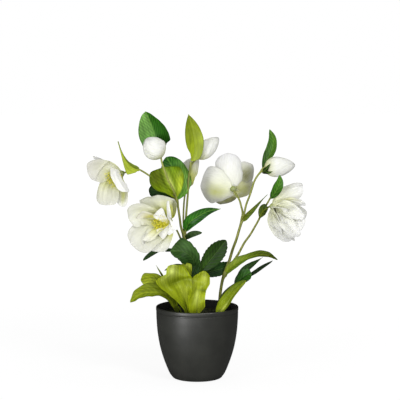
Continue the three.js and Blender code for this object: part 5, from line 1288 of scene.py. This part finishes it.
for number, bloom in enumerate(BLOOMS):
    core = lathe(f"grown_{bloom['name']}_stamens", CORE, CORE_SIDES)
    tuft = bloom["stamens"]
    core.data.transform(Matrix.Translation((0, 0, -TUFT_FOOT * MM)))
    grow(core, tuft_tree, {"Count": tuft["count"], "Ring": STAMEN_RING * MM, "Reach": tuft["reach"] * MM,
                           "Spread": tuft["spread"], "Filament": FILAMENT * MM, "Anther": ANTHER * MM,
                           "Seed": number, "Finish": stamen_yellow})
    ahead, top, right = bloom_frame(bloom["axis"])
    base = (Vector(bloom["base"]) + TUFT_FOOT * ahead) * MM
    core.data.transform(Matrix.Translation(base) @ Matrix((right, top, ahead)).transposed().to_4x4())
    core.data.shade_smooth()
    finish_piece(core, stamen_yellow, "stamen", f"{bloom['name']}_stamens")

# ---------------------------------------------------------------- closed buds
# Three petals wrapped round each other over a core. Each one's free edge stands a little proud of
# the next, and the foot sits over the end of the stalk.

BUDS = [
    dict(name="bud_round", base=[-50, -14, 312], axis=[-0.55, -0.3, 0.7], length=35, width=33),
    dict(name="bud_middle", base=[0, 15, 308], axis=[0.77, 0.08, 0.7], length=42, width=25, belly=0.8),
    dict(name="bud_right", base=[95, 12, 293], axis=[1, -0.1, 0.12], length=43, width=29, belly=0.72),
]
BUD_PETALS = 3
BUD_SUNK = 1.5  # how far the bud's foot reaches back over the stalk's end
BUD_ROWS = 40
WRAP_COLUMNS = 36
TUCKED = 0.35  # how far a petal runs on under its neighbour, as a part of a petal
BUD_RIDGE = 0.035  # how much its girth is angular, as a part of its radius
BUD_TONES = ("#ccd07c", "#eff0e6")  # at its foot and above


def bud_sheet(base, axis, length, width, belly, twist, first, last, shape, thick):
    """A part of the bud's egg, between two places round it counted in petals, as a closed sheet.
    The shape gives its radius as a part of the egg's, and belly sets how low the egg is widest."""
    ahead, top, right = (np.array(d) for d in bloom_frame(axis))
    t = (1 - np.cos(np.linspace(0, math.pi, BUD_ROWS + 1)[:, None])) / 2
    where = np.linspace(first, last, WRAP_COLUMNS + 1)[None, :]
    girth = np.maximum(width / 2 * np.sin(math.pi * t**belly) ** 0.6, 0.5)
    turn = 2 * math.pi * (where / BUD_PETALS - twist * t)
    angular = 1 + BUD_RIDGE * np.sin(math.pi * t) * np.cos(BUD_PETALS * turn + 2 * t)
    radius = girth * shape(where - first, t) * angular
    centre = np.array(base) + ahead * (t * length - BUD_SUNK)[..., None]
    spoke = right * np.cos(turn)[..., None] + top * np.sin(turn)[..., None]
    outer_skin = centre + spoke * radius[..., None]
    inner_skin = centre + spoke * np.maximum(radius - thick, 0.1)[..., None]
    n, m = BUD_ROWS + 1, WRAP_COLUMNS + 1
    points = np.vstack([outer_skin.reshape(-1, 3), inner_skin.reshape(-1, 3)])
    low = n * m
    faces = []
    for j in range(n - 1):
        for c in range(m - 1):
            a, b, d, e = j * m + c, j * m + c + 1, (j + 1) * m + c + 1, (j + 1) * m + c
            faces.append((a, b, d, e))
            faces.append((b + low, a + low, e + low, d + low))
        for c, flip in ((0, False), (m - 1, True)):
            ring = (j * m + c, (j + 1) * m + c, (j + 1) * m + c + low, j * m + c + low)
            faces.append(ring[::-1] if flip else ring)
    for j, flip in ((0, True), (n - 1, False)):
        for c in range(m - 1):
            ring = (j * m + c, j * m + c + 1, j * m + c + 1 + low, j * m + c + low)
            faces.append(ring[::-1] if flip else ring)
    low_tone, high_tone = (np.array(hexed(tone)[:3]) for tone in BUD_TONES)
    mix = np.clip(t * 2.4, 0, 1)[..., None]
    tint = ((1 - mix) * low_tone + mix * high_tone) * np.ones((1, m, 1))
    tint = np.concatenate([tint, np.zeros((n, m, 1))], 2)
    # for the petals' finish each petal is 12 mm wide, and 30 mm long before it shows
    lay = np.stack([(where - first) * 12 + 0 * t, 30 + t * length + 0 * where, 12 + 0 * t * where], 2)
    place = np.stack([(where - first) / (last - first) + 0 * t, t + 0 * where], 2)
    return dict(points=points, faces=faces, tint=np.vstack([tint.reshape(-1, 4)] * 2),
                lay=np.vstack([lay.reshape(-1, 3)] * 2), place=np.vstack([place.reshape(-1, 2)] * 2))


def bud(name, base, axis, length, width, belly=0.85, twist=0.25):
    """A closed bud: its outer petals, each tucked under the next one, over a core."""
    def wrapped(along, t):
        """An outer petal rises towards its free edge, which curls in, and has two creases."""
        step = along - TUCKED
        curl = 0.02 * np.clip((step - 0.85) / 0.15, 0, 1)
        crease = 0.02 * np.exp(-((step - 0.55) / 0.05) ** 2) + 0.015 * np.exp(-((step - 0.25) / 0.04) ** 2)
        return 0.93 + (0.1 * step - curl - crease) * np.sin(math.pi * t)

    def core(along, t):
        """The core is evenly round and lies under all of them."""
        return 0.88 + 0 * along + 0 * t

    sheets = [bud_sheet(base, axis, length, width, belly, twist, k - TUCKED, k + 1, wrapped, 0.5)
              for k in range(BUD_PETALS)]
    sheets.append(bud_sheet(base, axis, length, width, belly, twist, 0, BUD_PETALS, core, 3))
    return grown(f"grown_{name}", sheets)


for spec in BUDS:
    finish_piece(bud(**spec), petal_skin, "bud", spec["name"])

# ---------------------------------------------------------------- update
# The view layer is brought up to date.

bpy.context.view_layer.update()
